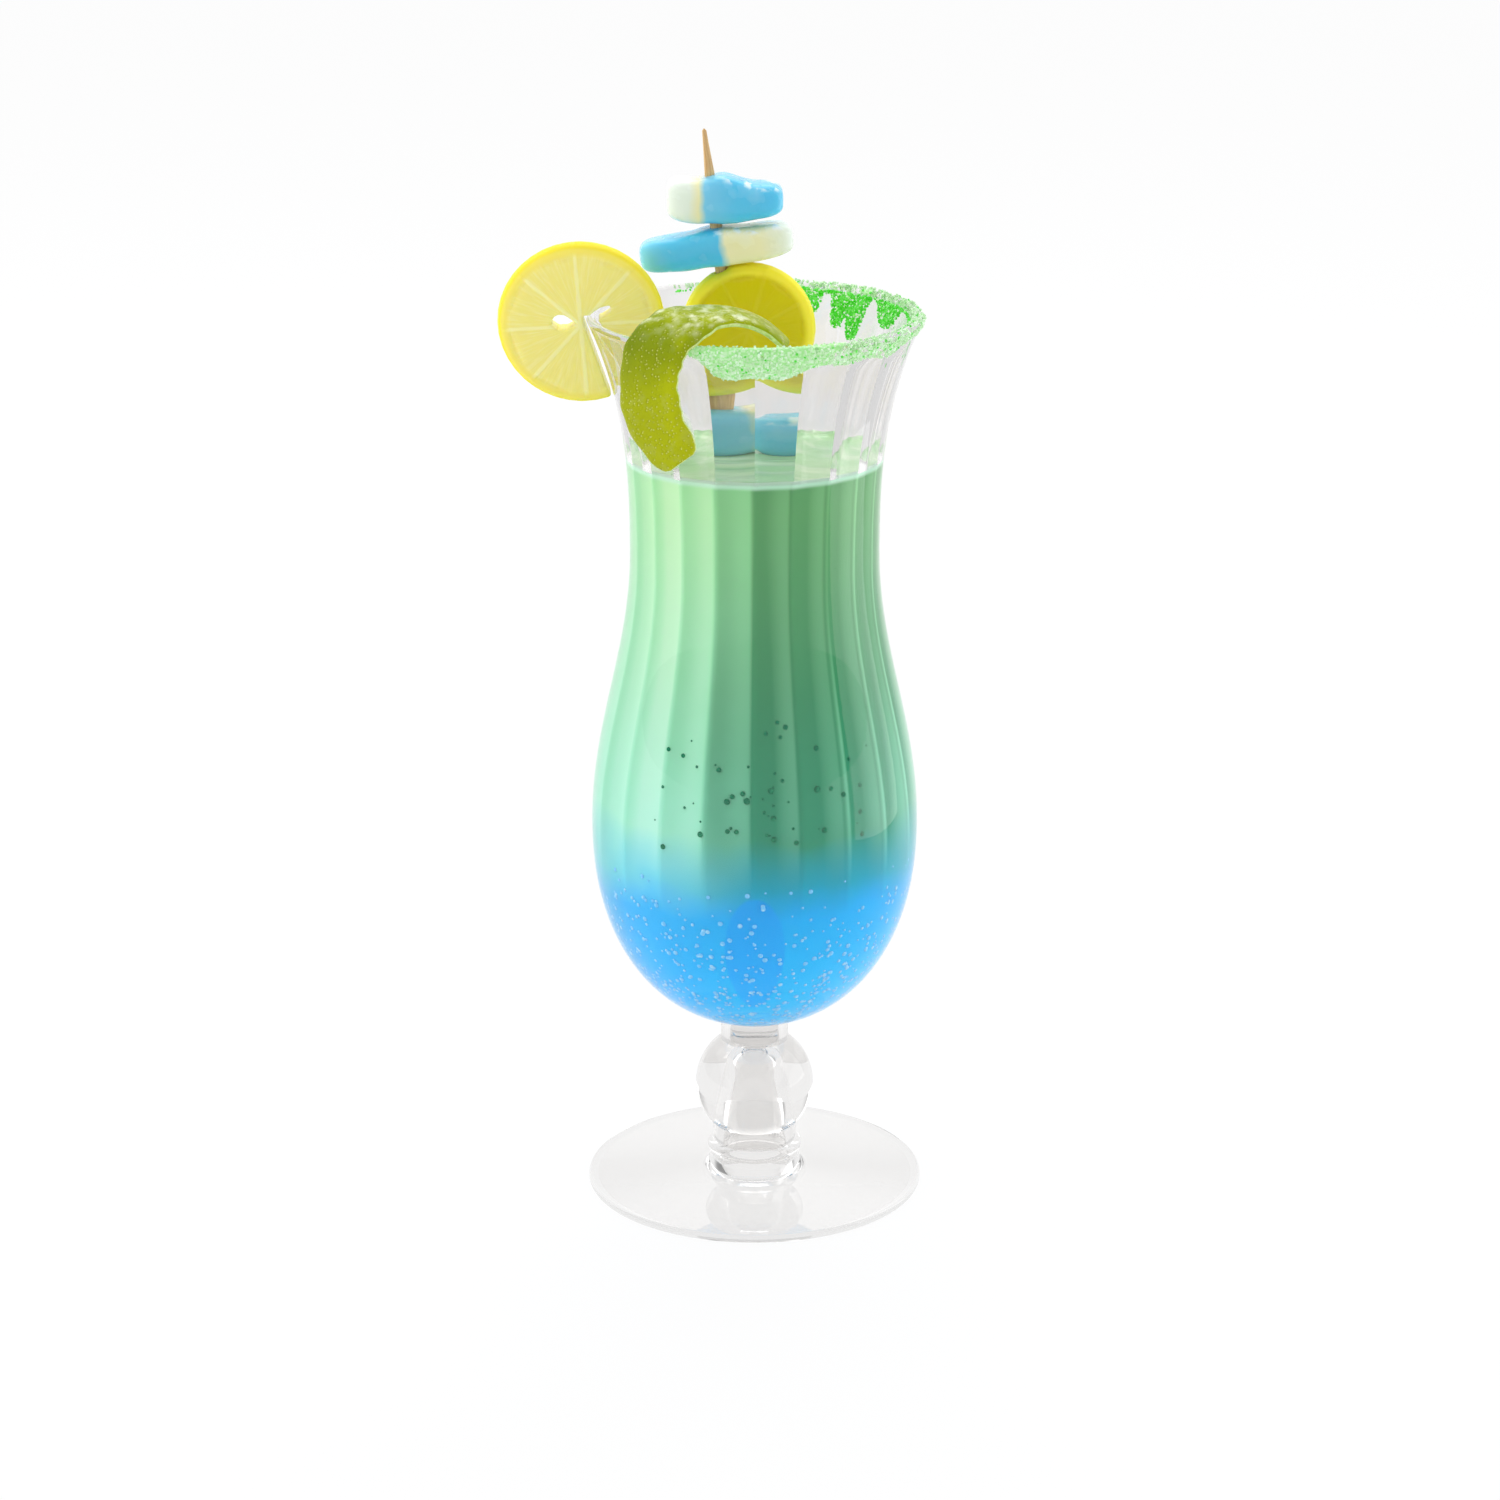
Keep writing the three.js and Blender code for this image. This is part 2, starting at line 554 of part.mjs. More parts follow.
// The strip is lowered or raised as a whole until it lies on the rim
function limeTwist() {
  const { middle, sides } = peelCurves();
  const corners = Array.from({ length: PEEL_SIDES }, (_, i) => ((i + 0.5) * 2 * Math.PI) / PEEL_SIDES);
  const rings = [];
  let lowest = Infinity;
  for (let step = 0; step <= PEEL_STEPS; step++) {
    const along = step / PEEL_STEPS;
    const ahead = middle.getTangent(along);
    const face = sides.getPoint(along).cross(ahead).normalize();
    const side = new THREE.Vector3().crossVectors(ahead, face);
    const ends = Math.sqrt(1 - Math.pow(2 * along - 1, PEEL_TAPER));
    const half = (PEEL_WIDTH / 2) * THREE.MathUtils.lerp(PEEL_TIP, 1, ends);
    const place = (sideways, through) =>
      middle.getPoint(along).addScaledVector(side, sideways).addScaledVector(face, through);
    rings.push(corners.map((angle) => {
      const out = Math.cos(angle);
      const sideways = half * Math.sign(out) * Math.sqrt(Math.abs(out));
      return place(sideways, (PEEL_THICKNESS / 2) * Math.sin(angle));
    }));
    for (let probe = -PEEL_STEPS; probe <= PEEL_STEPS; probe++) {
      for (const through of [-PEEL_THICKNESS / 2, PEEL_THICKNESS / 2]) {
        const point = place((half * probe) / PEEL_STEPS, through);
        const reach = Math.hypot(point.x, point.y);
        const overRim = reach > RIM_RADIUS - WALL && reach < RIM_RADIUS && point.z > -WALL;
        if (overRim) lowest = Math.min(lowest, point.z);
      }
    }
  }
  const cap = corners.slice(2).map((_, i) => [0, i + 1, i + 2]);
  return weld(skinned(rings, cap)).translate(0, 0, SEAT_GAP - lowest);
}

// The scene graph

function mesh(name, geometry, color, roughness, options = {}) {
  const material = new THREE.MeshStandardMaterial({ color, roughness, metalness: 0, ...options });
  const made = new THREE.Mesh(geometry, material);
  made.name = name;
  return made;
}

const clear = { transparent: true, opacity: 0.35 };
const dressedGlass = new THREE.Group();
dressedGlass.position.x = (WHEEL_REACH - FOOT_RADIUS) / 2;
dressedGlass.add(mesh('bowl', bowl(), 0xf2f6f6, 0.05, clear));
dressedGlass.add(mesh('stem_and_foot', stemAndFoot(), 0xf2f6f6, 0.05, clear));
dressedGlass.add(mesh('sugar_rim', sugarRim(), 0x9be07a, 0.6));

const wheel = mesh('lemon_wheel', lemonWheel(), 0xece264, 0.4);
wheel.position.set(-(RIM_RADIUS + WHEEL_OVERHANG), 0, RIM_HEIGHT - WHEEL_DROP);
wheel.rotation.x = rad(WHEEL_TILT);
dressedGlass.add(wheel);

const twist = mesh('lime_twist', limeTwist(), 0x95b010, 0.35);
twist.position.z = RIM_HEIGHT;
dressedGlass.add(twist);

const skewer = new THREE.Group();
const stand = pickStand();
const tipHeight = stand + PICK_LENGTH * Math.cos(rad(PICK_LEAN));
const tipAcross = PICK_ACROSS_RIM - (tipHeight - RIM_HEIGHT) * Math.tan(rad(PICK_LEAN));
skewer.position.set(tipAcross, PICK_BEHIND, tipHeight);
skewer.rotation.y = -rad(PICK_LEAN);
skewer.add(mesh('pick', pick(), 0xd2b27c, 0.7));
for (const [name, candy] of Object.entries({
  gummy_top: GUMMY_TOP,
  gummy_middle: GUMMY_MIDDLE,
  gummy_bottom: GUMMY_BOTTOM,
})) {
  const piece = mesh(name, gummy(candy), 0x5cc0e0, 0.3);
  piece.position.z = -candy.fromTip;
  skewer.add(piece);
}
const slice = mesh('lemon_slice', lemonSlice(), 0xd2c61c, 0.4);
slice.position.set(SLICE_SHIFT, 0, -SLICE_FROM_TIP);
skewer.add(slice);
dressedGlass.add(skewer);

const part = new THREE.Group();
part.add(dressedGlass);

export default part;
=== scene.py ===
"""Looks of a dressed hurricane glass: clear mouldings, a two-colour drink and the garnish on its rim."""

import json
import math

import bmesh
import bpy
import numpy as np
from bpy.props import FloatProperty, FloatVectorProperty, IntProperty, PointerProperty
from bpy.types import Operator, Panel, PropertyGroup
from mathutils import Matrix, Vector, noise


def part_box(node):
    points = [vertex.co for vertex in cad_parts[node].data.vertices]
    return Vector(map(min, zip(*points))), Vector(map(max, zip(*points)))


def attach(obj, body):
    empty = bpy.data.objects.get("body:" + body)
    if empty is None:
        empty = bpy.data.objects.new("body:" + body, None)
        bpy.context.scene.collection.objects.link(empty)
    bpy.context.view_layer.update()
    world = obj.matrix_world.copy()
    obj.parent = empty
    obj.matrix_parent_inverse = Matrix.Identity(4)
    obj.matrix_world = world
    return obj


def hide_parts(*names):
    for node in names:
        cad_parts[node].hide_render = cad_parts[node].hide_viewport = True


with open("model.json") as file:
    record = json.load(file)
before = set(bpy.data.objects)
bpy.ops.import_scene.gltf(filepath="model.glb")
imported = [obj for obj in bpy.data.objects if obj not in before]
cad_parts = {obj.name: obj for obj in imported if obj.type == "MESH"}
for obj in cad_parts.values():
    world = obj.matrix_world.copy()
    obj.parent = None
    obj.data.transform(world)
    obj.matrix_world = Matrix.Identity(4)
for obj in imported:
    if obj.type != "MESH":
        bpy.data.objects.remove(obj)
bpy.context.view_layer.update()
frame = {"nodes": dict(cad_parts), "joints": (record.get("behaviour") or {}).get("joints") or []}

bl_info = {
    "name": "Dressed hurricane glass",
    "version": (1, 0, 0),
    "blender": (4, 5, 0),
    "location": "View3D > Sidebar > Glass",
    "description": "Builds a fluted plastic glass with its drink and garnish around the packed part",
    "category": "Object",
}

MM = 0.001
BOWL_LOW, BOWL_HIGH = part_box("bowl")
FOOT_LOW, FOOT_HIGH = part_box("stem_and_foot")
AXIS_X = (FOOT_LOW.x + FOOT_HIGH.x) / 2


# Properties


def linear(*srgb):
    """A colour as Blender's shaders take it, from red, green and blue out of 255."""
    shares = [value / 255 for value in srgb]
    return [s / 12.92 if s <= 0.04045 else ((s + 0.055) / 1.055) ** 2.4 for s in shares]


def length(name, description, millimetres):
    return FloatProperty(
        name=name, description=description, default=millimetres * MM, unit="LENGTH", precision=5
    )


def share(name, description, default):
    return FloatProperty(name=name, description=description, default=default, min=0, max=1, subtype="FACTOR")


def number(name, description, default):
    return FloatProperty(name=name, description=description, default=default)


def colour(name, description, *srgb):
    return FloatVectorProperty(
        name=name, description=description, default=linear(*srgb), min=0, max=1, size=3, subtype="COLOR"
    )


class BowlSizes(PropertyGroup):
    """Sizes of the fluted bowl"""

    rim_height: length("Rim height", "Top of the rim above the table", BOWL_HIGH.z / MM)
    rim_radius: length("Rim radius", "Outside of the rim", 37.4)
    flare_power: number("Flare", "How late the wall turns outward below the rim", 2.65)
    waist_height: length("Waist height", "Narrowest place of the bowl", 154)
    waist_radius: length("Waist radius", "Outside of the waist", 28.25)
    belly_height: length("Belly height", "Widest place of the bowl", 89.3)
    belly_radius: length("Belly radius", "Outside of the belly", (BOWL_HIGH.x - BOWL_LOW.x) / 2 / MM)
    base_height: length("Base height", "Underside of the bowl on the axis", 40.7)
    base_roundness: number("Base roundness", "Exponent of the rounded base, where 2 is an ellipse", 2.2)
    wall: length("Wall", "Wall between two flutes", 2)
    floor: length("Floor", "Thickness of the bowl's bottom", 3.5)
    flutes: IntProperty(name="Flutes", description="Flutes round the inside", default=20, min=3)
    flute_depth: length("Flute depth", "Extra wall in the middle of a flute", 0.9)
    flute_foot: length("Flute foot", "Height where the flutes run out", 78)
    flute_runout: length("Flute run-out", "Height over which the flutes rise from their foot", 12)
    flute_head: length("Flute head", "Below the rim, where the flutes reach their full depth", 5)
    spigot_radius: length("Spigot radius", "Plug under the bowl that sits in the stem", 5.6)
    spigot_chamfer: length("Spigot chamfer", "Bevel at the plug's end", 0.5)


class StemSizes(PropertyGroup):
    """Sizes of the stem and foot"""

    seat_gap: length("Seat gap", "Clearance between the bowl and the stem", 0.3)
    neck_radius: length("Neck radius", "Outside of the neck under the bowl", 7.9)
    ball_height: length("Ball height", "Middle of the ball above the table", 24)
    ball_radius: length("Ball radius", "Radius of the ball", 13.8)
    groove_radius: length("Groove radius", "Drawn-in ring under the ball", 9.9)
    bead_height: length("Bead height", "Middle of the bead above the table", 8.5)
    bead_radius: length("Bead radius", "Outside of the bead", 11)
    bead_round: length("Bead round", "Half height of the bead", 1.6)
    riser_radius: length("Riser radius", "Column between the foot and the bead", 10.2)
    foot_radius: length("Foot radius", "Outside of the foot", (FOOT_HIGH.x - FOOT_LOW.x) / 2 / MM)
    foot_edge: length("Foot edge", "Thickness of the foot at its edge", 2)
    foot_round: length("Foot round", "Rounding of the foot's edge", 0.8)
    foot_crown: length("Foot crown", "Top of the foot where it meets the column", 3.6)
    foot_fillet: length("Foot fillet", "Rounding between the foot and the column", 2.6)
    foot_dish: length("Foot dish", "Hollow under the foot at the core's mouth", 1.4)
    rest_radius: length("Rest radius", "Inside of the flat ring that the foot stands on", 36.8)
    core_top: length("Core top", "Top of the hollow core", 31)
    core_top_radius: length("Core top radius", "Radius of the core's rounded top", 4.8)
    core_mouth_radius: length("Core mouth radius", "Radius of the core's mouth", 8.4)


class DrinkLook(PropertyGroup):
    """Level and colours of the drink"""

    level: length("Level", "Surface of the drink above the table", 175)
    meniscus: length("Meniscus", "Rise of the surface at the wall", 1.3)
    contact: length("Contact", "How far the drink's skin lies in the wall, so that no air shows", 0.06)
    # From blue to leaf: the colours of the drink's shaded side, painted shade; petal is a deeper blue
    blue: colour("Blue", "Colour at the bottom", 0, 188, 255)
    petal: colour("Petal", "Deeper blue at the foot of the front flute", 0, 164, 255)
    sky: colour("Sky blue", "Colour at the top of the blue layer", 0, 182, 255)
    teal: colour("Teal", "Colour where the two layers meet", 8, 168, 194)
    sea: colour("Sea green", "Colour just above the blue", 52, 152, 118)
    green: colour("Green", "Colour of the middle of the green layer", 66, 150, 104)
    leaf: colour("Leaf green", "Colour at the top of the drink", 92, 164, 100)
    # The same colours on the drink's lit side: painted light
    lit_blue: colour("Pale blue", "Lit side of the bottom", 4, 178, 255)
    lit_sky: colour("Pale sky", "Lit side of the top of the blue layer", 40, 184, 255)
    lit_teal: colour("Pale teal", "Lit side where the layers meet", 122, 220, 236)
    lit_sea: colour("Pale sea green", "Lit side just above the blue", 184, 244, 222)
    lit_green: colour("Pale green", "Lit side of the middle of the green layer", 192, 242, 208)
    lit_leaf: colour("Pale leaf", "Lit side of the top of the drink", 196, 242, 188)
    froth: colour("Froth", "Colour of the surface", 176, 226, 170)
    dark_bubble: colour("Dark bubbles", "Bubbles in the green layer", 16, 118, 84)
    pale_bubble: colour("Pale bubbles", "Bubbles in the blue layer", 120, 205, 255)


class GarnishLook(PropertyGroup):
    """Colours of the garnish"""

    sugar_pale: colour("Pale sugar", "Crystals on the outside of the rim", 178, 214, 168)
    sugar_green: colour("Green sugar", "Crystals inside the rim", 66, 196, 40)
    sugar_film: colour("Sugar film", "Wet sugar under the crystals", 150, 212, 134)
    candy_blue: colour("Candy blue", "Blue part of the candies", 80, 198, 234)
    candy_sky: colour("Candy sky blue", "Lighter blue of the candies", 122, 206, 236)
    candy_cream: colour("Candy cream", "Pale end of the candies", 228, 238, 226)
    candy_butter: colour("Candy butter", "Cream beside the blue of the candies", 238, 235, 188)
    wheel_flesh: colour("Wheel flesh", "Flesh of the wheel on the rim", 242, 234, 140)
    wheel_rind: colour("Wheel rind", "Rind of the wheel on the rim", 240, 224, 62)
    slice_flesh: colour("Slice flesh", "Flesh of the slice on the pick", 220, 206, 0)
    slice_rind: colour("Slice rind", "Rind of the slice on the pick", 244, 232, 60)
    zest: colour("Lime zest", "Outside of the peel", 132, 150, 0)
    zest_pale: colour("Pale zest", "Worn and raised places of the zest", 162, 176, 0)
    pith: colour("Lime pith", "Inside of the peel", 216, 230, 160)
    wood: colour("Wood", "Pale wood of the pick", 226, 190, 134)
    wood_grain: colour("Wood grain", "Darker grain of the pick", 186, 138, 82)


class StageLook(PropertyGroup):
    """Camera, light and floor"""

    camera_distance: length("Camera distance", "Camera in front of the axis of the glass", 917.9)
    camera_height: length("Camera height", "Camera above the table", 404.4)
    camera_left: length("Camera left", "Camera left of the axis of the glass", 1.06)
    camera_pitch: number("Camera pitch", "Degrees that the camera looks down", 18.01)
    camera_lens: number("Lens", "Focal length in millimetres on a 36 mm sensor", 100.86)
    ambient: number("Ambient", "Light from all round", 0.85)
    front: share("Front", "Brightness of the room in front of the glass, in its reflections", 0.92)
    sides: share("Sides", "Brightness of the room at both sides, in reflections and through the glass", 0.35)
    floor: colour("Floor", "Colour of the floor", 236, 236, 238)
    window: number("Window", "How much brighter than the room the window at the back is", 1.0)
    floor_white: share("Floor white", "Share of plain white in the floor as it is seen", 0.92)


# Shader nodes


def joins(operation, swapped=False):
    """A method that joins a wire and another term with a Math node."""

    def method(self, other):
        terms = (other, self) if swapped else (self, other)
        return self.math(operation, *terms)

    return method


class Wire:
    """An output socket that takes part in Python expressions, where each operation adds a Math node."""

    def __init__(self, nodes, socket):
        self.nodes = nodes
        self.socket = socket

    def math(self, operation, *terms):
        return self.nodes.add("ShaderNodeMath", {"operation": operation}, dict(enumerate(terms)))

    def fraction(self):
        return self.math("FRACT", self)

    __add__, __radd__ = joins("ADD"), joins("ADD", swapped=True)
    __sub__, __rsub__ = joins("SUBTRACT"), joins("SUBTRACT", swapped=True)
    __mul__, __rmul__ = joins("MULTIPLY"), joins("MULTIPLY", swapped=True)
    __truediv__ = joins("DIVIDE")
    __pow__ = joins("POWER")
    least = joins("MINIMUM")
    most = joins("MAXIMUM")
    over = joins("GREATER_THAN")
    turn = joins("ARCTAN2")


def rgba(tint):
    return (*tint, 1)


class Nodes:
    """Adds nodes to one node tree."""

    def __init__(self, tree):
        self.tree = tree
        tree.nodes.clear()

    def add(self, kind, settings=None, inputs=None, output=0):
        """A node of a kind: its settings come first, then the values or wires of its sockets."""
        made = self.tree.nodes.new(kind)
        for name, value in (settings or {}).items():
            if name == "stops":
                self.set_stops(made.color_ramp.elements, value)
            else:
                setattr(made, name, value)
        for key, value in (inputs or {}).items():
            if isinstance(value, Wire):
                self.tree.links.new(value.socket, made.inputs[key])
            else:
                made.inputs[key].default_value = value
        return Wire(self, made.outputs[output]) if made.outputs else None

    @staticmethod
    def set_stops(elements, stops):
        for place, (position, tint) in enumerate(stops):
            element = elements[place] if place < 2 else elements.new(position)
            element.position = position
            element.color = rgba(tint)

    def place(self):
        """Where a point of the surface lies in its object's own axes, in metres."""
        return self.add("ShaderNodeTexCoord", output="Object")

    def facing(self):
        """How far the surface faces right, back and up, each from -1 to 1."""
        return self.parts(self.add("ShaderNodeNewGeometry", output="Normal"))

    def ray(self, output):
        """What kind of ray meets the surface, or how often it has bounced."""
        return self.add("ShaderNodeLightPath", output=output)

    def parts(self, vector):
        """The x, y and z of a vector."""
        split = self.add("ShaderNodeSeparateXYZ", inputs={0: vector}).socket.node
        return [Wire(self, output) for output in split.outputs]

    def vector(self, x, y, z):
        return self.add("ShaderNodeCombineXYZ", inputs={0: x, 1: y, 2: z})

    def noise(self, vector, grain, detail=2.0):
        """Soft noise with features of about `grain` metres."""
        inputs = {"Vector": vector, "Scale": 1 / grain, "Detail": detail}
        return self.add("ShaderNodeTexNoise", inputs=inputs)

    def cells(self, vector, grain):
        """Distance from the middle of cells about `grain` metres across."""
        return self.add("ShaderNodeTexVoronoi", inputs={"Vector": vector, "Scale": 1 / grain})

    def step(self, value, start, end):
        """0 before start, 1 after end and smooth between them."""
        inputs = {"Value": value, "From Min": start, "From Max": end}
        return self.add("ShaderNodeMapRange", {"interpolation_type": "SMOOTHSTEP"}, inputs)

    def ramp(self, value, stops):
        return self.add("ShaderNodeValToRGB", {"stops": stops}, {"Fac": value})

    def mix(self, factor, first, second):
        """A colour between two colours."""
        ends = [rgba(end) if not isinstance(end, Wire) else end for end in (first, second)]
        inputs = {0: factor, 6: ends[0], 7: ends[1]}
        return self.add("ShaderNodeMix", {"data_type": "RGBA"}, inputs, output=2)

    def times(self, tint, factors):
        """A colour with its red, green and blue multiplied."""
        return self.add("ShaderNodeVectorMath", {"operation": "MULTIPLY"}, {0: tint, 1: factors})

    def bump(self, height, strength, distance):
        inputs = {"Height": height, "Strength": strength, "Distance": distance}
        return self.add("ShaderNodeBump", inputs=inputs)

    def principled(self, **sockets):
        """A Principled shader; names of sockets have _ for spaces."""
        inputs = {name.replace("_", " "): value for name, value in sockets.items()}
        return self.add("ShaderNodeBsdfPrincipled", inputs=inputs)


class Finish(Nodes):
    """The nodes of one new material."""

    def __init__(self, name):
        self.material = bpy.data.materials.new(name)
        self.material.use_nodes = True
        super().__init__(self.material.node_tree)

    def show(self, shader):
        """Puts a shader on the surface and gives the material back."""
        self.add("ShaderNodeOutputMaterial", inputs={"Surface": shader})
        return self.material


# Meshes


def mesh_of(points, faces):
    """A mesh with its faces turned outward."""
    mesh = bpy.data.meshes.new("piece")
    mesh.from_pydata(points, [], faces)
    shell = bmesh.new()
    shell.from_mesh(mesh)
    bmesh.ops.recalc_face_normals(shell, faces=shell.faces)
    shell.to_mesh(mesh)
    shell.free()
    return mesh


def skin(rows):
    """A closed mesh over rings of points; a fan of triangles closes each end."""
    count, around = rows.shape[:2]
    index = np.arange(count * around).reshape(count, around)
    beside = np.roll(index, -1, axis=1)
    quads = np.stack([index[:-1], beside[:-1], beside[1:], index[1:]], axis=-1).reshape(-1, 4)
    faces = quads.tolist()
    for ring, centre in ((0, count * around), (-1, count * around + 1)):
        faces += [[a, b, centre] for a, b in zip(index[ring].tolist(), beside[ring].tolist())]
    centres = rows[[0, -1]].mean(axis=1)
    points = np.concatenate([rows.reshape(-1, 3), centres])
    return mesh_of(points.tolist(), faces)


def turned(radius, height, turns):
    """Rings round the axis of the glass. A turn of 0 is at the front and grows to the right."""
    radius, height = np.broadcast_arrays(radius, height)
    if radius.ndim == 1:
        radius, height = radius[:, None], height[:, None]
    x = AXIS_X + radius * np.sin(turns)
    y = -radius * np.cos(turns)
    return np.stack([x, y, np.broadcast_to(height, x.shape)], axis=-1)


def by_rim(turn, reach, height):
    """A point at a radius and height. A turn of 0 is at the right and grows to the back, in radians."""
    return AXIS_X + reach * math.cos(turn), reach * math.sin(turn), height


def scattered(shape, matrices):
    """One mesh of many copies of a small shape, given as points and faces."""
    points, faces = shape
    corners = np.concatenate([points, np.ones((len(points), 1))], axis=1)
    placed = np.einsum("nij,pj->npi", matrices, corners)[..., :3].reshape(-1, 3)
    starts = range(0, len(placed), len(points))
    shifted = [[start + corner for corner in face] for start in starts for face in faces]
    return mesh_of(placed.tolist(), shifted)


def points_and_faces(shell):
    """What a bmesh holds, for scattered; the bmesh is freed."""
    points = np.array([vertex.co[:] for vertex in shell.verts])
    faces = [[vertex.index for vertex in face.verts] for face in shell.faces]
    shell.free()
    return points, faces


def unit(vectors):
    return vectors / np.linalg.norm(vectors, axis=-1, keepdims=True)


def full_turn(steps):
    """Angles of steps round a full turn."""
    return np.arange(steps) * 2 * np.pi / steps


def piece(name, mesh, body, materials, replaces=None, slot=None, matrix=None, crease=None):
    """Puts a mesh into the scene as a piece that rides on a body and may stand for a CAD node."""
    mesh.name = name
    made = bpy.data.objects.new(name, mesh)
    bpy.context.scene.collection.objects.link(made)
    if matrix is not None:
        made.matrix_world = matrix
    for material in materials:
        mesh.materials.append(material)
    mesh.shade_smooth()
    if crease is not None:
        mesh.set_sharp_from_angle(angle=math.radians(crease))
    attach(made, body)
    if replaces:
        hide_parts(replaces)


# Bowl and stem

TURNS_PER_FLUTE = 14
BASE_STEPS = 48
SIDE_STEPS = 44
LIP_STEPS = 8
STEM_TURNS = 160
NEAR_AXIS = 0.4 * MM
MOULDING_CREASE = 32


def base_radius(size, height, radius, depth):
    fall = np.clip((size.belly_height - height) / depth, 0, 1)
    return radius * (1 - fall**size.base_roundness) ** (1 / size.base_roundness)


def lip_height(size):
    return size.rim_height - size.wall / 2


def outer_radius(size, height):
    """Outside of the bowl: rounded base, belly drawn in to the waist, flared rim."""
    height = np.asarray(height, float)
    base = base_radius(size, height, size.belly_radius, size.belly_height - size.base_height)
    rise = np.clip((height - size.belly_height) / (size.waist_height - size.belly_height), 0, 1)
    swell = (size.belly_radius - size.waist_radius) * (1 + np.cos(np.pi * rise)) / 2
    climb = np.clip((height - size.waist_height) / (lip_height(size) - size.waist_height), 0, 1)
    flare = (size.rim_radius - size.waist_radius) * climb**size.flare_power
    side = size.waist_radius + np.where(height < size.waist_height, swell, flare)
    return np.where(height < size.belly_height, base, side)


def base_curve(size, radius, depth, end_radius):
    """Radii and heights down the rounded base, from the belly to an end radius."""
    end = math.acos((end_radius / radius) ** (size.base_roundness / 2))
    angle = np.linspace(0, end, BASE_STEPS + 1)[1:]
    out = np.cos(angle) ** (2 / size.base_roundness)
    down = np.sin(angle) ** (2 / size.base_roundness)
    return radius * out, size.belly_height - depth * down


def side_heights(size):
    """Heights from the belly up to the lip."""
    lower = np.linspace(size.belly_height, size.waist_height, SIDE_STEPS, endpoint=False)
    return np.concatenate([lower, np.linspace(size.waist_height, lip_height(size), SIDE_STEPS)])


def inner_outline(size):
    """Radii and heights between two flutes, from the lip down to the middle of the floor."""
    heights = side_heights(size)[::-1]
    depth = size.belly_height - size.base_height - size.floor
    base = base_curve(size, size.belly_radius - size.wall, depth, NEAR_AXIS)
    radius = np.concatenate([outer_radius(size, heights) - size.wall, base[0]])
    return radius, np.concatenate([heights, base[1]])


def flute_turns(size):
    return full_turn(size.flutes * TURNS_PER_FLUTE)


def fluted(size, radius, height, turns):
    """Inner radius of the bowl with its flutes, for each height and turn."""
    across = 2 * np.mod(turns * size.flutes / (2 * np.pi), 1) - 1
    head = np.clip((lip_height(size) - height) / size.flute_head, 0, 1)
    foot = np.sqrt(np.clip((height - size.flute_foot) / size.flute_runout, 0, 1))
    return radius[:, None] - size.flute_depth * np.outer(head * foot, 1 - across**2)


def bowl_rows(size):
    turns = flute_turns(size)
    plug_end = BOWL_LOW.z
    plug_radius = np.array([size.spigot_radius - size.spigot_chamfer, size.spigot_radius])
    plug_height = np.array([plug_end, plug_end + size.spigot_chamfer])
    depth = size.belly_height - size.base_height
    base = base_curve(size, size.belly_radius, depth, size.spigot_radius)
    heights = side_heights(size)
    lip = np.linspace(0, np.pi, LIP_STEPS + 2)[1:-1]
    lip_radius = size.rim_radius - size.wall / 2 + size.wall / 2 * np.cos(lip)
    radius = [plug_radius, base[0][::-1], outer_radius(size, heights), lip_radius]
    height = [plug_height, base[1][::-1], heights, lip_height(size) + size.wall / 2 * np.sin(lip)]
    outside = turned(np.concatenate(radius), np.concatenate(height), turns)
    inner_radius, inner_height = inner_outline(size)
    inside = turned(fluted(size, inner_radius, inner_height, turns), inner_height[:, None], turns)
    return np.concatenate([outside, inside])


def arc(centre, radius, start, end, steps):
    """Points [radius, height] on an arc, with its angles in degrees from straight outward."""
    angles = np.radians(np.linspace(start, end, steps))
    return [[centre[0] + radius * math.cos(a), centre[1] + radius * math.sin(a)] for a in angles]


def stem_outline(size, bowl):
    """The section of the stem and foot, from the top of its core round to the floor of its socket."""
    core_side = size.core_top - size.core_top_radius
    outline = arc((0, core_side), size.core_top_radius, 84, 0, 10)
    outline += [[size.core_mouth_radius, size.foot_dish], [size.rest_radius, 0]]
    rim = size.foot_radius - size.foot_round
    outline += arc((rim, size.foot_round), size.foot_round, -90, 0, 7)
    outline += arc((rim, size.foot_edge - size.foot_round), size.foot_round, 0, 80, 7)
    fillet = size.riser_radius + size.foot_fillet, size.foot_crown + size.foot_fillet
    outline += arc(fillet, size.foot_fillet, 266, 180, 10)
    outline += [[size.riser_radius, size.bead_height - size.bead_round]]
    bead = size.bead_radius - size.bead_round, size.bead_height
    outline += arc(bead, size.bead_round, -60, 80, 10)
    lowest = -math.degrees(math.acos(size.groove_radius / size.ball_radius))
    highest = math.degrees(math.acos(size.neck_radius / size.ball_radius))
    outline += arc((0, size.ball_height), size.ball_radius, lowest, highest, 40)
    socket = bowl.spigot_radius + size.seat_gap
    for radius in (size.neck_radius, socket):
        outline.append([radius, base_height(bowl, radius) - size.seat_gap])
    outline += [[socket, BOWL_LOW.z - size.seat_gap], [NEAR_AXIS, BOWL_LOW.z - size.seat_gap]]
    return np.array(outline)


def base_height(size, radius):
    """Height of the bowl's underside at a radius."""
    fall = (1 - (radius / size.belly_radius) ** size.base_roundness) ** (1 / size.base_roundness)
    return size.belly_height - (size.belly_height - size.base_height) * fall


# Bounces and reflections after which a ray goes straight on
DEEPEST_BOUNCE, INNER_REFLECTIONS = 7, 1
# Heights over which the plastic turns from backed by the drink to bare
DRY_FADE, BARE_BELOW = 4 * MM, (36 * MM, 41 * MM)
BACKED_TINT, BARE_TINT = linear(251, 251, 251), linear(238, 237, 236)
SHADOW_TINT = linear(243, 243, 243)


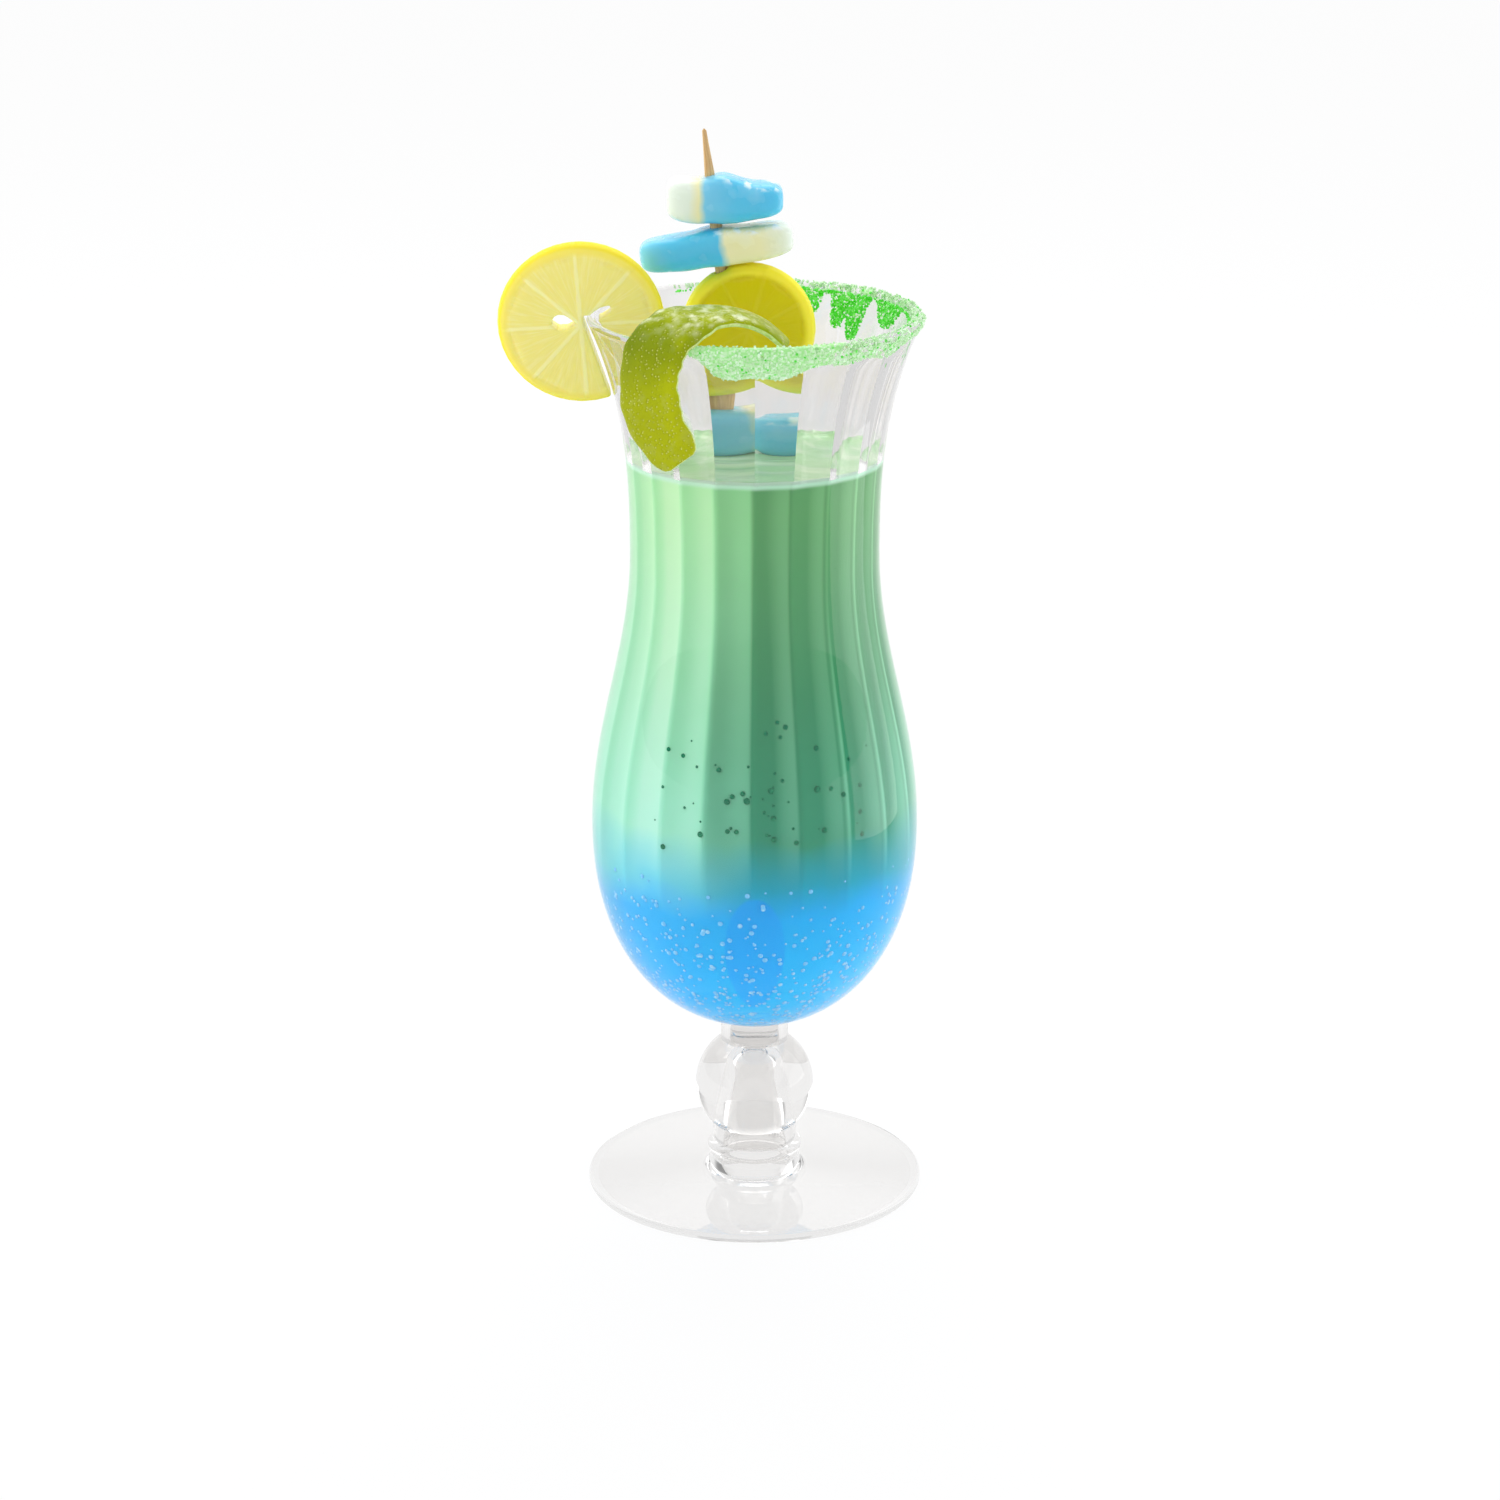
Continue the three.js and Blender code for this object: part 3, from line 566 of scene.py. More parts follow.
def clear_plastic(look):
    """Polished clear plastic with faint flow marks, a little greyer where no drink backs it.

    Light from the lamps and the room goes straight through it, and so do rays after many bounces in it.
    """
    finish = Finish("clear_plastic")
    place = finish.place()
    flow = finish.noise(place, 9 * MM, detail=1)
    scuffs = finish.noise(place, 1.4 * MM, detail=3)
    _, _, z = finish.parts(place)
    dry = finish.step(z, look.level - DRY_FADE, look.level + DRY_FADE)
    dry = dry.most(1 - finish.step(z, *BARE_BELOW))
    shell = finish.principled(
        Base_Color=finish.mix(dry, BACKED_TINT, BARE_TINT),
        Roughness=0.015 + 0.03 * finish.step(scuffs, 0.55, 0.8),
        IOR=1.49,
        Specular_IOR_Level=0.1,
        Transmission_Weight=1.0,
        Normal=finish.bump(flow, 0.06, 0.4 * MM),
    )
    shade = finish.add("ShaderNodeBsdfTransparent", inputs={"Color": rgba(SHADOW_TINT)})
    worn_out = finish.ray("Ray Depth").over(DEEPEST_BOUNCE)
    worn_out = worn_out.most(finish.ray("Glossy Depth").over(INNER_REFLECTIONS))
    straight = finish.ray("Is Shadow Ray").most(finish.ray("Is Diffuse Ray")).most(worn_out)
    return finish.show(finish.add("ShaderNodeMixShader", inputs={0: straight, 1: shell, 2: shade}))


class GLASS_OT_mouldings(Operator):
    """Builds the fluted bowl and the stem with its foot"""

    bl_idname = "glass.mouldings"
    bl_label = "Bowl and stem"

    def execute(self, context):
        bowl, stem = context.scene.glass_bowl, context.scene.glass_stem
        plastic = [clear_plastic(context.scene.glass_drink)]
        mesh = skin(bowl_rows(bowl))
        piece("bowl_moulding", mesh, "glass", plastic, "bowl", "clear_plastic", crease=MOULDING_CREASE)
        outline = stem_outline(stem, bowl)
        mesh = skin(turned(outline[:, 0], outline[:, 1], full_turn(STEM_TURNS)))
        replaced = "stem_and_foot", "clear_plastic"
        piece("stem_moulding", mesh, "glass", plastic, *replaced, crease=MOULDING_CREASE)
        return {"FINISHED"}


# Drink

TOP_STEPS, TOP_MIDDLE = 28, 0.02
RIPPLE = 0.12 * MM
MENISCUS_REACH = 1.6 * MM
DRINK_BOUNCES = 2


def drink_rows(size, look):
    """Rings up the wall from the bottom, then in over the surface; and how many are on the wall."""
    turns = flute_turns(size)
    radius, height = inner_outline(size)
    below = height < look.level
    radius = np.append(radius[below][::-1], np.interp(look.level, height[::-1], radius[::-1]))
    height = np.append(height[below][::-1], look.level)
    wall = fluted(size, radius, height, turns) + look.contact
    heights = np.broadcast_to(height[:, None], wall.shape).copy()
    heights[-1] += look.meniscus
    inward = np.linspace(1, TOP_MIDDLE, TOP_STEPS)[1:, None]
    top = wall[-1] * inward
    climb = look.meniscus * np.exp((top - wall[-1]) / MENISCUS_REACH)
    waves = np.sin(9 * turns) * np.sin(14 * inward) + np.sin(4 * turns + 21 * inward)
    surface = look.level + climb + RIPPLE * waves * (1 - inward)
    rows = turned(np.concatenate([wall, top]), np.concatenate([heights, surface]), turns)
    return rows, len(wall)


# Heights of the colours, from blue to leaf green
LAYER_HEIGHTS = 58 * MM, 76 * MM, 84.5 * MM, 96 * MM, 127 * MM, 168 * MM
LAYERS_LOW, LAYERS_HIGH = 40 * MM, 180 * MM
LAYER_SWIRL, SIDE_SWIRL = 10 * MM, 4 * MM
# Where the drink turns from lit to shaded, measured to the right of the axis
LIT_SIDE = -19.5 * MM, 7.8 * MM
LIT_LEAN, LEAN_HEIGHTS = 4.8 * MM, (112 * MM, 160 * MM)
# Painted light: from these distances right of the axis the right edge and its ridges turn paler, as does one
# side of each flute, by these shares
RIGHT_EDGE, RIGHT_RIDGES = (24 * MM, 36 * MM), (10 * MM, 20 * MM)
FLUTE_LIGHT, EDGE_LIGHT, RIDGE_LIGHT = 0.2, 0.3, 0.5
PETAL_TURN, PETAL_HEIGHT, PETAL_REACH = 0.21, 68 * MM, 15 * MM
# Painted shade: where the drink faces far left, its colour is dimmed by these factors
LEFT_TURN, LEFT_DIMMED = (0.7, 1.0), (0.66, 0.84, 0.76)
# Heights over which a painted glow fades out above the bottom of the drink
GLOW_HEIGHTS = 48 * MM, 88 * MM
# Makes the colour halfway between the painted light and shade more saturated
HALFWAY_TINT = (0.95, 1.14, 1.06)
# The first is a painted highlight along the drink's top edge; the second is met after several bounces; the
# third is froth
MENISCUS_HIGHLIGHT, FAR_TINT, FOAM_TINT = linear(206, 246, 224), linear(236, 236, 236), linear(214, 242, 206)


def drink_body(size, look):
    """Two milky layers that run into each other, in painted light and shade: paler on the lit side,
    along each flute, at the right edge and on the right-hand ridges, and dimmed where they face far left;
    with a painted highlight along the top edge and a painted glow low down.

    Rays that reach it only after several bounces, as through the stem, meet a pale grey.
    """
    finish = Finish("drink_body")
    place = finish.place()
    x, y, z = finish.parts(place)
    right = x - AXIS_X
    swirl = finish.noise(place, 20 * MM, detail=3) - 0.5
    share_up = (z + swirl * LAYER_SWIRL - LAYERS_LOW) / (LAYERS_HIGH - LAYERS_LOW)
    stations = [(height - LAYERS_LOW) / (LAYERS_HIGH - LAYERS_LOW) for height in LAYER_HEIGHTS]
    deep = look.blue, look.sky, look.teal, look.sea, look.green, look.leaf
    pale = look.lit_blue, look.lit_sky, look.lit_teal, look.lit_sea, look.lit_green, look.lit_leaf
    # Shaded and lit copies of the layer colours: painted shade and painted light
    shaded = finish.ramp(share_up, list(zip(stations, deep)))
    lit = finish.ramp(share_up, list(zip(stations, pale)))
    turn = right.turn(0 - y)
    within = (turn * (size.flutes / (2 * math.pi)) + size.flutes).fraction()
    across = finish.step(within, 0.0, 0.82) * (1 - finish.step(within, 0.84, 1.0)) * 2 - 1
    ridge_highlight = 1 - finish.step(within.least(1 - within), 0.0, 0.12)
    fluting = finish.step(z, size.flute_foot, size.flute_foot + 2 * size.flute_runout)
    lean = right + (1 - finish.step(z, *LEAN_HEIGHTS)) * LIT_LEAN
    painted_light_share = 1 - finish.step(lean + swirl * SIDE_SWIRL, *LIT_SIDE)
    # Painted light along one side of each flute, at the right edge, and painted highlights on the ridges at
    # the right
    painted_light_share = painted_light_share + across * fluting * FLUTE_LIGHT + finish.step(right, *RIGHT_EDGE) * EDGE_LIGHT
    painted_light_share = painted_light_share + ridge_highlight * fluting * finish.step(right, *RIGHT_RIDGES) * RIDGE_LIGHT
    petal = 1 - (turn / PETAL_TURN) ** 2 - ((z - PETAL_HEIGHT) / PETAL_REACH) ** 2
    painted_light_share = painted_light_share.most(0).least(1)
    tint = finish.mix(painted_light_share, shaded, lit)
    # More saturated halfway between the painted light and shade
    halfway = painted_light_share * (1 - painted_light_share) * fluting * 4
    tint = finish.mix(halfway, tint, finish.times(tint, HALFWAY_TINT))
    tint = finish.mix(finish.step(petal, 0.0, 0.12) * 0.6, tint, look.petal)
    # Painted shade where the drink faces far left
    leftward = (0 - right) / (right * right + y * y) ** 0.5
    tint = finish.mix(finish.step(leftward, *LEFT_TURN), tint, finish.times(tint, LEFT_DIMMED))
    # Painted highlight along the top edge of the drink
    edge = finish.step(z, look.level - 0.9 * MM, look.level + 0.2 * MM)
    tint = finish.mix(edge * 0.8, tint, MENISCUS_HIGHLIGHT)
    tint = finish.mix(finish.ray("Ray Depth").over(DRINK_BOUNCES), tint, FAR_TINT)
    return finish.show(finish.principled(
        Base_Color=tint,
        Roughness=0.45,
        Specular_IOR_Level=0.0,
        # A painted glow low down in the drink, fading out upward
        Emission_Color=finish.mix(finish.step(z, *GLOW_HEIGHTS), tint, (0, 0, 0)),
        Emission_Strength=0.2,
        Subsurface_Weight=0.6,
        Subsurface_Radius=(1.0, 1.0, 1.0),
        Subsurface_Scale=2.5 * MM,
    ))


def drink_surface(look):
    """The glossy surface of the drink with patches of froth."""
    finish = Finish("drink_surface")
    place = finish.place()
    froth = finish.noise(place, 7 * MM, detail=4)
    foam = finish.cells(place, 1.3 * MM)
    tint = finish.mix(finish.step(froth, 0.4, 0.7), look.froth, FOAM_TINT)
    return finish.show(finish.principled(
        Base_Color=tint,
        Roughness=0.08 + 0.15 * froth,
        IOR=1.34,
        Normal=finish.bump(foam, 0.12, 0.2 * MM),
    ))


def bubble_finish(name, tint, pale):
    """Small bubbles against the wall, lighter in places."""
    finish = Finish(name)
    specks = finish.noise(finish.place(), 0.8 * MM, detail=1)
    return finish.show(finish.principled(
        Base_Color=finish.mix(finish.step(specks, 0.45, 0.7), tint, pale),
        Roughness=0.5,
        Specular_IOR_Level=0.0,
    ))


def small_ball():
    """Points and faces of a bubble."""
    ball = bmesh.new()
    bmesh.ops.create_icosphere(ball, subdivisions=2, radius=1)
    return points_and_faces(ball)


STRING_SPREAD = 0.07
GREEN_STRINGS = (-33, -20, -12, 1, 7, 9, 12, 28, 41, 120, 150, 180, 205, 240)
BLUE_STRINGS = tuple(range(-180, 180, 15))
GREEN_HEIGHTS = 92 * MM, 98 * MM, 124 * MM
BLUE_HEIGHTS = 43 * MM, 46 * MM, 88 * MM
GREEN_COUNT, BLUE_COUNT = 96, 1900
GREEN_RADII, BLUE_RADII = (0.2 * MM, 0.8 * MM), (0.25 * MM, 0.65 * MM)
BUBBLE_SUNK, SMALLER_OFTEN = 0.2, 1.5
BUBBLE_SEED = 7
DARK_SPECK, PALE_SPECK = linear(34, 140, 100), linear(164, 224, 255)


def bubble_matrices(size, look, draws, heights, strings, least, most):
    """Bubbles that cling to the wall in strings at these heights, between two radii."""
    turns = np.radians(draws.choice(strings, len(heights)))
    turns = turns + draws.normal(0, STRING_SPREAD, len(heights))
    radii = least + (most - least) * draws.random(len(heights)) ** SMALLER_OFTEN
    outline = inner_outline(size)
    plain = np.interp(heights, outline[1][::-1], outline[0][::-1])
    matrices = []
    for turn, height, radius, reach in zip(turns, heights, radii, plain):
        wall = fluted(size, np.array([reach]), np.array([height]), np.array([turn]))[0, 0]
        reach = wall + look.contact - BUBBLE_SUNK * radius
        matrix = Matrix.Translation((AXIS_X + reach * math.sin(turn), -reach * math.cos(turn), height))
        matrices.append(np.array(matrix @ Matrix.Scale(radius, 4)))
    return np.array(matrices)


class GLASS_OT_drink(Operator):
    """Fills the bowl with the two-colour drink and its bubbles"""

    bl_idname = "glass.drink"
    bl_label = "Drink"

    def execute(self, context):
        size, look = context.scene.glass_bowl, context.scene.glass_drink
        rows, on_wall = drink_rows(size, look)
        mesh = skin(rows)
        around = rows.shape[1]
        quads = (len(rows) - 1) * around
        parts = np.zeros(len(mesh.polygons), np.int32)
        parts[(on_wall - 1) * around : quads] = 1
        parts[quads + around :] = 1
        mesh.polygons.foreach_set("material_index", parts)
        piece("drink", mesh, "glass", [drink_body(size, look), drink_surface(look)])

        draws = np.random.default_rng(BUBBLE_SEED)
        green = draws.triangular(*GREEN_HEIGHTS, GREEN_COUNT)
        matrices = bubble_matrices(size, look, draws, green, GREEN_STRINGS, *GREEN_RADII)
        dark = bubble_finish("bubble_dark", look.dark_bubble, DARK_SPECK)
        piece("bubbles_green", scattered(small_ball(), matrices), "glass", [dark])
        blue = draws.triangular(*BLUE_HEIGHTS, BLUE_COUNT)
        matrices = bubble_matrices(size, look, draws, blue, BLUE_STRINGS, *BLUE_RADII)
        pale = bubble_finish("bubble_pale", look.pale_bubble, PALE_SPECK)
        piece("bubbles_blue", scattered(small_ball(), matrices), "glass", [pale])
        return {"FINISHED"}


# Sugar

CLUMPS = (
    # degrees round the rim from the right, spread in degrees, drop
    (67.5, 4.5, 6.0 * MM),
    (54, 4, 7.5 * MM),
    (45, 4.5, 9.5 * MM),
    (25, 8, 5.0 * MM),
)
SUGAR_START, SUGAR_END = -113, 122
OUTSIDE_DROPS = (
    # degrees round the rim from the right, drop in millimetres
    (SUGAR_START, 1.5),
    (-104, 5.4),
    (-72, 5.2),
    (-45, 3.0),
    (-10, 1.8),
    (60, 1.4),
    (88, 0.9),
    (SUGAR_END, 0.2),
)
LIP_SHARES = (
    # degrees round the rim where a stretch of lip ends, share of the grains that stay on it
    (15, 0.3),
    (88, 0.5),
    (SUGAR_END, 0.03),
)
OUTSIDE_WAVES = (
    # height, waves in a full turn
    (1.0 * MM, 7),
    (0.5 * MM, 17),
)
# Drop in millimetres from which the waves have their full height
WAVES_FULL = 3
LEAST_INSIDE, LEAST_OUTSIDE = 0.25 * MM, 0.2 * MM
# Drops from which every grain stays
FULL_INSIDE, FULL_OUTSIDE = 9 * MM, 6 * MM
OUTSIDE_GRAINS, LIP_GRAINS, INSIDE_GRAINS = 1300, 700, 1700
GREEN_OUTSIDE, GREEN_INSIDE = 0.05, 0.88
# Least and most, in millimetres
GRAIN_LIFT, GRAIN_SIZES = (0.05, 0.5), (0.28, 0.6)
# Radians past the round of the lip, and share of a grain's width
LIP_OVERHANG, CRYSTAL_CUT = 0.2, 0.2
SUGAR_SEED = 11
# Colours of the painted glints on the pale, green and film sugar
PALE_GLINT, GREEN_GLINT, FILM_GLINT = linear(206, 228, 204), linear(110, 214, 92), linear(190, 224, 182)


def drop_inside(turn):
    """How far the sugar hangs down the inside: in clumps at the back right."""
    clumps = (drop * math.exp(-(((turn - at) / spread) ** 4)) for at, spread, drop in CLUMPS)
    return LEAST_INSIDE + sum(clumps)


def drop_outside(turn):
    """How far the sugar hangs down the outside: far at the front left, less at the right and back."""
    wave = sum(high * math.sin(math.radians(count * turn)) for high, count in OUTSIDE_WAVES)
    front = np.interp(turn, *zip(*OUTSIDE_DROPS))
    return max(front * MM + wave * min(1, front / WAVES_FULL), LEAST_OUTSIDE)


FILM_THICKNESS, FILM_SUNK = 0.25 * MM, 0.1 * MM
FILM_END, FILM_STEPS = 92, 300
STEPS_DOWN, STEPS_OVER = 12, 9


def film_rows(size):
    """Rings round a thin film of wet sugar along the rim: down its outside and over the lip."""
    lip, middle = lip_height(size), size.rim_radius - size.wall / 2
    share_down = np.linspace(1, 0, STEPS_DOWN)
    over = np.linspace(0, np.pi, STEPS_OVER + 1)[1:]
    rows = []
    for turn in np.linspace(SUGAR_START, FILM_END, FILM_STEPS):
        heights = lip - drop_outside(turn) * share_down
        sides = []
        for thick in (FILM_THICKNESS, -FILM_SUNK):
            outside = outer_radius(size, heights) + thick * np.minimum(1, 4 * (1 - share_down) + 0.25)
            reach = np.concatenate([outside, middle + (size.wall / 2 + thick) * np.cos(over)])
            height = np.concatenate([heights, lip + (size.wall / 2 + thick) * np.sin(over)])
            sides.append(np.stack([reach, height], axis=-1))
        ring = np.concatenate([sides[0], sides[1][::-1]])
        rows.append(np.stack(by_rim(math.radians(turn), ring[:, 0], ring[:, 1]), axis=-1))
    return np.array(rows)


def crystal():
    """Points and faces of a grain: a block with four of its edges cut."""
    block = bmesh.new()
    bmesh.ops.create_cube(block, size=1)
    upright = [edge for edge in block.edges if abs(edge.verts[0].co.z - edge.verts[1].co.z) > 0.5]
    bmesh.ops.bevel(block, geom=upright, offset=CRYSTAL_CUT, segments=1, affect="EDGES")
    return points_and_faces(block)


def grain_places(size, draws, count, zone):
    """Places of grains in a zone of the rim: outside, lip or inside."""
    places = []
    lip, middle = lip_height(size), size.rim_radius - size.wall / 2
    while len(places) < count:
        turn = draws.uniform(SUGAR_START, SUGAR_END)
        down, lift, keep = draws.random(), draws.uniform(*GRAIN_LIFT) * MM, draws.random()
        if zone == "lip":
            if keep > next(staying for end, staying in LIP_SHARES if turn <= end):
                continue
            tilt = draws.uniform(-LIP_OVERHANG, math.pi + LIP_OVERHANG)
            reach = middle + (size.wall / 2 + lift) * math.cos(tilt)
            height = lip + (size.wall / 2 + lift) * math.sin(tilt)
        elif zone == "outside":
            drop = drop_outside(turn)
            if keep > drop / FULL_OUTSIDE:
                continue
            height = lip - drop * down**0.8
            reach = float(outer_radius(size, height)) + lift * (1 - 0.5 * down)
        else:
            drop = drop_inside(turn)
            if keep > drop / FULL_INSIDE:
                continue
            height = lip - drop * down
            reach = float(outer_radius(size, height)) - size.wall - size.flute_depth - lift * 0.8
        places.append((math.radians(turn), reach, height))
    return places


def grain_matrices(draws, places):
    matrices = []
    for place in places:
        spot = Matrix.Translation(by_rim(*place))
        spin = Matrix.Rotation(draws.uniform(0, math.pi), 4, Vector(draws.normal(size=3)))
        sizes = draws.uniform(*GRAIN_SIZES, 3) * MM
        matrices.append(np.array(spot @ spin @ Matrix.Diagonal((*sizes, 1))))
    return np.array(matrices)


def sugar_finish(name, tint, glint, grain, gaps=False):
    """Coarse sugar: grains with a painted glow in their own colour, some paler as painted glints, and gaps
    if asked.
    """
    finish = Finish(name)
    place = finish.place()
    blocks = finish.add("ShaderNodeVectorMath", {"operation": "SNAP"}, {0: place, 1: (grain,) * 3})
    grains = finish.add("ShaderNodeTexWhiteNoise", inputs={0: blocks})
    # Random grains take the glint colour: painted glints
    shade = finish.mix(finish.step(grains, 0.4, 1.0), tint, glint)
    cover = 1.0
    if gaps:
        x, y, _ = finish.parts(place)
        patches = finish.noise(place, 3 * MM, detail=3)
        thinner = finish.step(x - AXIS_X + y * 0.5, -10 * MM, 16 * MM) * 0.3
        cover = finish.step(patches - thinner, 0.24, 0.36)
    return finish.show(finish.principled(
        Base_Color=shade,
        Alpha=cover,
        Roughness=0.15 + 0.25 * grains,
        IOR=1.5,
        Specular_IOR_Level=0.3,
        # A painted glow in the colour of the grains
        Emission_Color=shade,
        Emission_Strength=0.25,
        Normal=finish.bump(finish.noise(place, 0.7 * MM, detail=2), 0.3, 0.2 * MM),
    ))


class GLASS_OT_sugar(Operator):
    """Crusts the rim with grains of sugar"""

    bl_idname = "glass.sugar"
    bl_label = "Sugar rim"

    def execute(self, context):
        size, look = context.scene.glass_bowl, context.scene.glass_garnish
        draws = np.random.default_rng(SUGAR_SEED)
        pale = sugar_finish("sugar_pale", look.sugar_pale, PALE_GLINT, 0.8 * MM)
        green = sugar_finish("sugar_green", look.sugar_green, GREEN_GLINT, 0.8 * MM)
        film = sugar_finish("sugar_film", look.sugar_film, FILM_GLINT, 0.5 * MM, gaps=True)
        piece("sugar_film", skin(film_rows(size)), "glass", [film], slot="green_sugar")
        outer = grain_places(size, draws, OUTSIDE_GRAINS, "outside")
        outer += grain_places(size, draws, LIP_GRAINS, "lip")
        inner = grain_places(size, draws, INSIDE_GRAINS, "inside")
        mesh = scattered(crystal(), grain_matrices(draws, outer + inner))
        per_grain = len(mesh.polygons) // (len(outer) + len(inner))
        kinds = [draws.random() < GREEN_OUTSIDE for _ in outer]
        kinds += [draws.random() < GREEN_INSIDE for _ in inner]
        mesh.polygons.foreach_set("material_index", np.repeat(np.array(kinds, np.int32), per_grain))
        piece("sugar_crust", mesh, "glass", [pale, green], "sugar_rim", "green_sugar")
        mesh.shade_flat()
        return {"FINISHED"}


# Pick and candies

PICK_UP = Vector(next(joint["axis"] for joint in frame["joints"] if joint["name"] == "skewer_lift"))
PICK_TIP = max((vertex.co.copy() for vertex in frame["nodes"]["pick"].data.vertices), key=lambda co: co.z)
PICK_RADIUS = 1.4 * MM
PICK_POINT = 15 * MM
PICK_TIP_RADIUS = 0.45 * MM
PICK_LENGTH = (PICK_TIP.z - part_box("pick")[0].z) / PICK_UP.z
PICK_STEPS, POINT_STEPS, PICK_TURNS = 40, 24, 28
PICK_END_RADIUS = 0.1 * MM
WOOD_BAND = linear(160, 112, 60)
CANDY_DEPTH = 11 * MM
CANDY_SQUARENESS = 4
CANDY_DIP = 0.16
CANDY_UNDERSIDE = 0.9
CANDY_HUMPS = 2
CANDY_ROWS, CANDY_TURNS = 72, 64
DENT_GRAIN, DENT_DEPTH, DENT_SHIFT = 5 * MM, 0.35 * MM, 3.7
# The second is the colour of the painted highlights on the candies
CANDY_CLOUD, CANDY_HIGHLIGHT = linear(222, 242, 248), linear(240, 250, 252)
CANDIES = (
    # node, distance from the tip, length and height in millimetres, tilt in degrees, shift in millimetres,
    # taper, share of the length where the colours meet, blue first
    ("gummy_top", 15.8, 26, 11.4, 0, 2.7, 0.3, 0.31, False),
    ("gummy_middle", 26.5, 34.4, 9, -8, -0.4, 0, 0.54, True),
    ("gummy_bottom", 68.7, 22, 11.4, 6, 0.5, 0.1, 0.3, False),
)


def pick_frame():
    """Axes of the pick: its tip at the origin and its length along Z."""
    turn = Vector((0, 0, 1)).rotation_difference(PICK_UP).to_matrix().to_4x4()
    return Matrix.Translation(PICK_TIP) @ turn


def pick_rows():
    along = np.concatenate([
        np.linspace(-PICK_LENGTH, -PICK_POINT, PICK_STEPS),
        np.linspace(-PICK_POINT, -PICK_TIP_RADIUS, POINT_STEPS)[1:],
    ])
    taper = np.clip(-along / PICK_POINT, 0, 1)
    radius = PICK_TIP_RADIUS + (PICK_RADIUS - PICK_TIP_RADIUS) * taper
    along, radius = np.append(along, 0), np.append(radius, PICK_END_RADIUS)
    turns = full_turn(PICK_TURNS)
    facets = 1 + 0.03 * np.sin(3 * turns + 1) + 0.02 * np.sin(7 * turns)
    wobble = radius[:, None] * facets * (1 + 0.02 * np.sin(along * 400))[:, None]
    height = np.broadcast_to(along[:, None], wobble.shape)
    return np.stack([wobble * np.cos(turns), wobble * np.sin(turns), height], axis=-1)


def wood_finish(look):
    """Split bamboo: fine grain along the pick."""
    finish = Finish("bamboo")
    x, y, z = finish.parts(finish.place())
    along = finish.vector(x, y, z * 0.03)
    grain = finish.noise(along, 0.35 * MM, detail=3)
    bands = finish.noise(along, 1.6 * MM, detail=1)
    tint = finish.mix(finish.step(grain, 0.42, 0.7) * 0.8, look.wood, look.wood_grain)
    return finish.show(finish.principled(
        Base_Color=finish.mix(finish.step(bands, 0.5, 0.8) * 0.5, tint, WOOD_BAND),
        Roughness=0.5 + 0.25 * grain,
        Normal=finish.bump(grain, 0.5, 0.08 * MM),
    ))


def candy_rows(long, high, taper, dents_from):
    """A moulded candy with round ends, humps along its top and small dents."""
    along = np.linspace(0, np.pi, CANDY_ROWS + 2)[1:-1]
    turns = full_turn(CANDY_TURNS)
    x = np.cos(along)[:, None] * np.ones(CANDY_TURNS)
    y = np.sin(along)[:, None] * np.cos(turns)
    z = np.sin(along)[:, None] * np.sin(turns)
    points = np.stack([x, y, z], axis=-1)
    reach = (np.abs(points) ** CANDY_SQUARENESS).sum(axis=-1, keepdims=True) ** (-1 / CANDY_SQUARENESS)
    points = points * reach
    dip = CANDY_DIP / 2 * (1 - np.cos(np.pi * CANDY_HUMPS * points[..., 0]))
    points[..., 2] *= np.where(points[..., 2] > 0, 1 - dip, CANDY_UNDERSIDE)
    points[..., 2] *= 1 - taper * np.maximum(points[..., 0], 0)
    half = np.array([long, CANDY_DEPTH, high]) / 2
    points = points * half
    start = Vector((dents_from, 0, 0))
    dents = [[noise.noise(Vector(point) / DENT_GRAIN + start) for point in row] for row in points]
    return points + unit(points / half) * np.array(dents)[..., None] * DENT_DEPTH


def candy_finish(name, look, long, meet, blue_first):
    """Soft jelly in two colours that run into each other, with painted highlights where its right half faces
    up.
    """
    finish = Finish(name)
    place = finish.place()
    x, _, _ = finish.parts(place)
    wander = finish.noise(place, 6 * MM, detail=2) - 0.5
    along = x / long + 0.5 + wander * 0.08
    if blue_first:
        stops = [
            (0.04, look.candy_sky),
            (0.2, look.candy_blue),
            (meet - 0.02, look.candy_blue),
            (meet + 0.03, look.candy_butter),
            (meet + 0.25, look.candy_butter),
            (1.0, look.candy_cream),
        ]
    else:
        stops = [
            (0.0, look.candy_cream),
            (meet - 0.12, look.candy_cream),
            (meet - 0.03, look.candy_butter),
            (meet + 0.03, look.candy_sky),
            (meet + 0.3, look.candy_blue),
            (1.0, look.candy_blue),
        ]
    cloud = finish.noise(place, 5 * MM, detail=2)
    tint = finish.mix(finish.step(cloud, 0.5, 0.8) * 0.2, finish.ramp(along, stops), CANDY_CLOUD)
    # Painted highlights on faces that look up, in crinkled patches on the right half
    crinkles = finish.noise(place, 3 * MM, detail=4)
    candy_highlight = finish.step(finish.facing()[2], 0.3, 0.8) * finish.step(crinkles, 0.5, 0.62)
    candy_highlight = candy_highlight * finish.step(along, 0.4, 0.6)
    return finish.show(finish.principled(
        Base_Color=finish.mix(candy_highlight * 0.75, tint, CANDY_HIGHLIGHT),
        Roughness=0.16 + 0.2 * cloud,
        IOR=1.42,
        Subsurface_Weight=0.8,
        Subsurface_Radius=(1.0, 1.0, 1.0),
        Subsurface_Scale=3 * MM,
        Coat_Weight=0.5,
        Coat_Roughness=0.08,
        Normal=finish.bump(finish.noise(place, 1.6 * MM, detail=2), 0.25, 0.3 * MM),
    ))


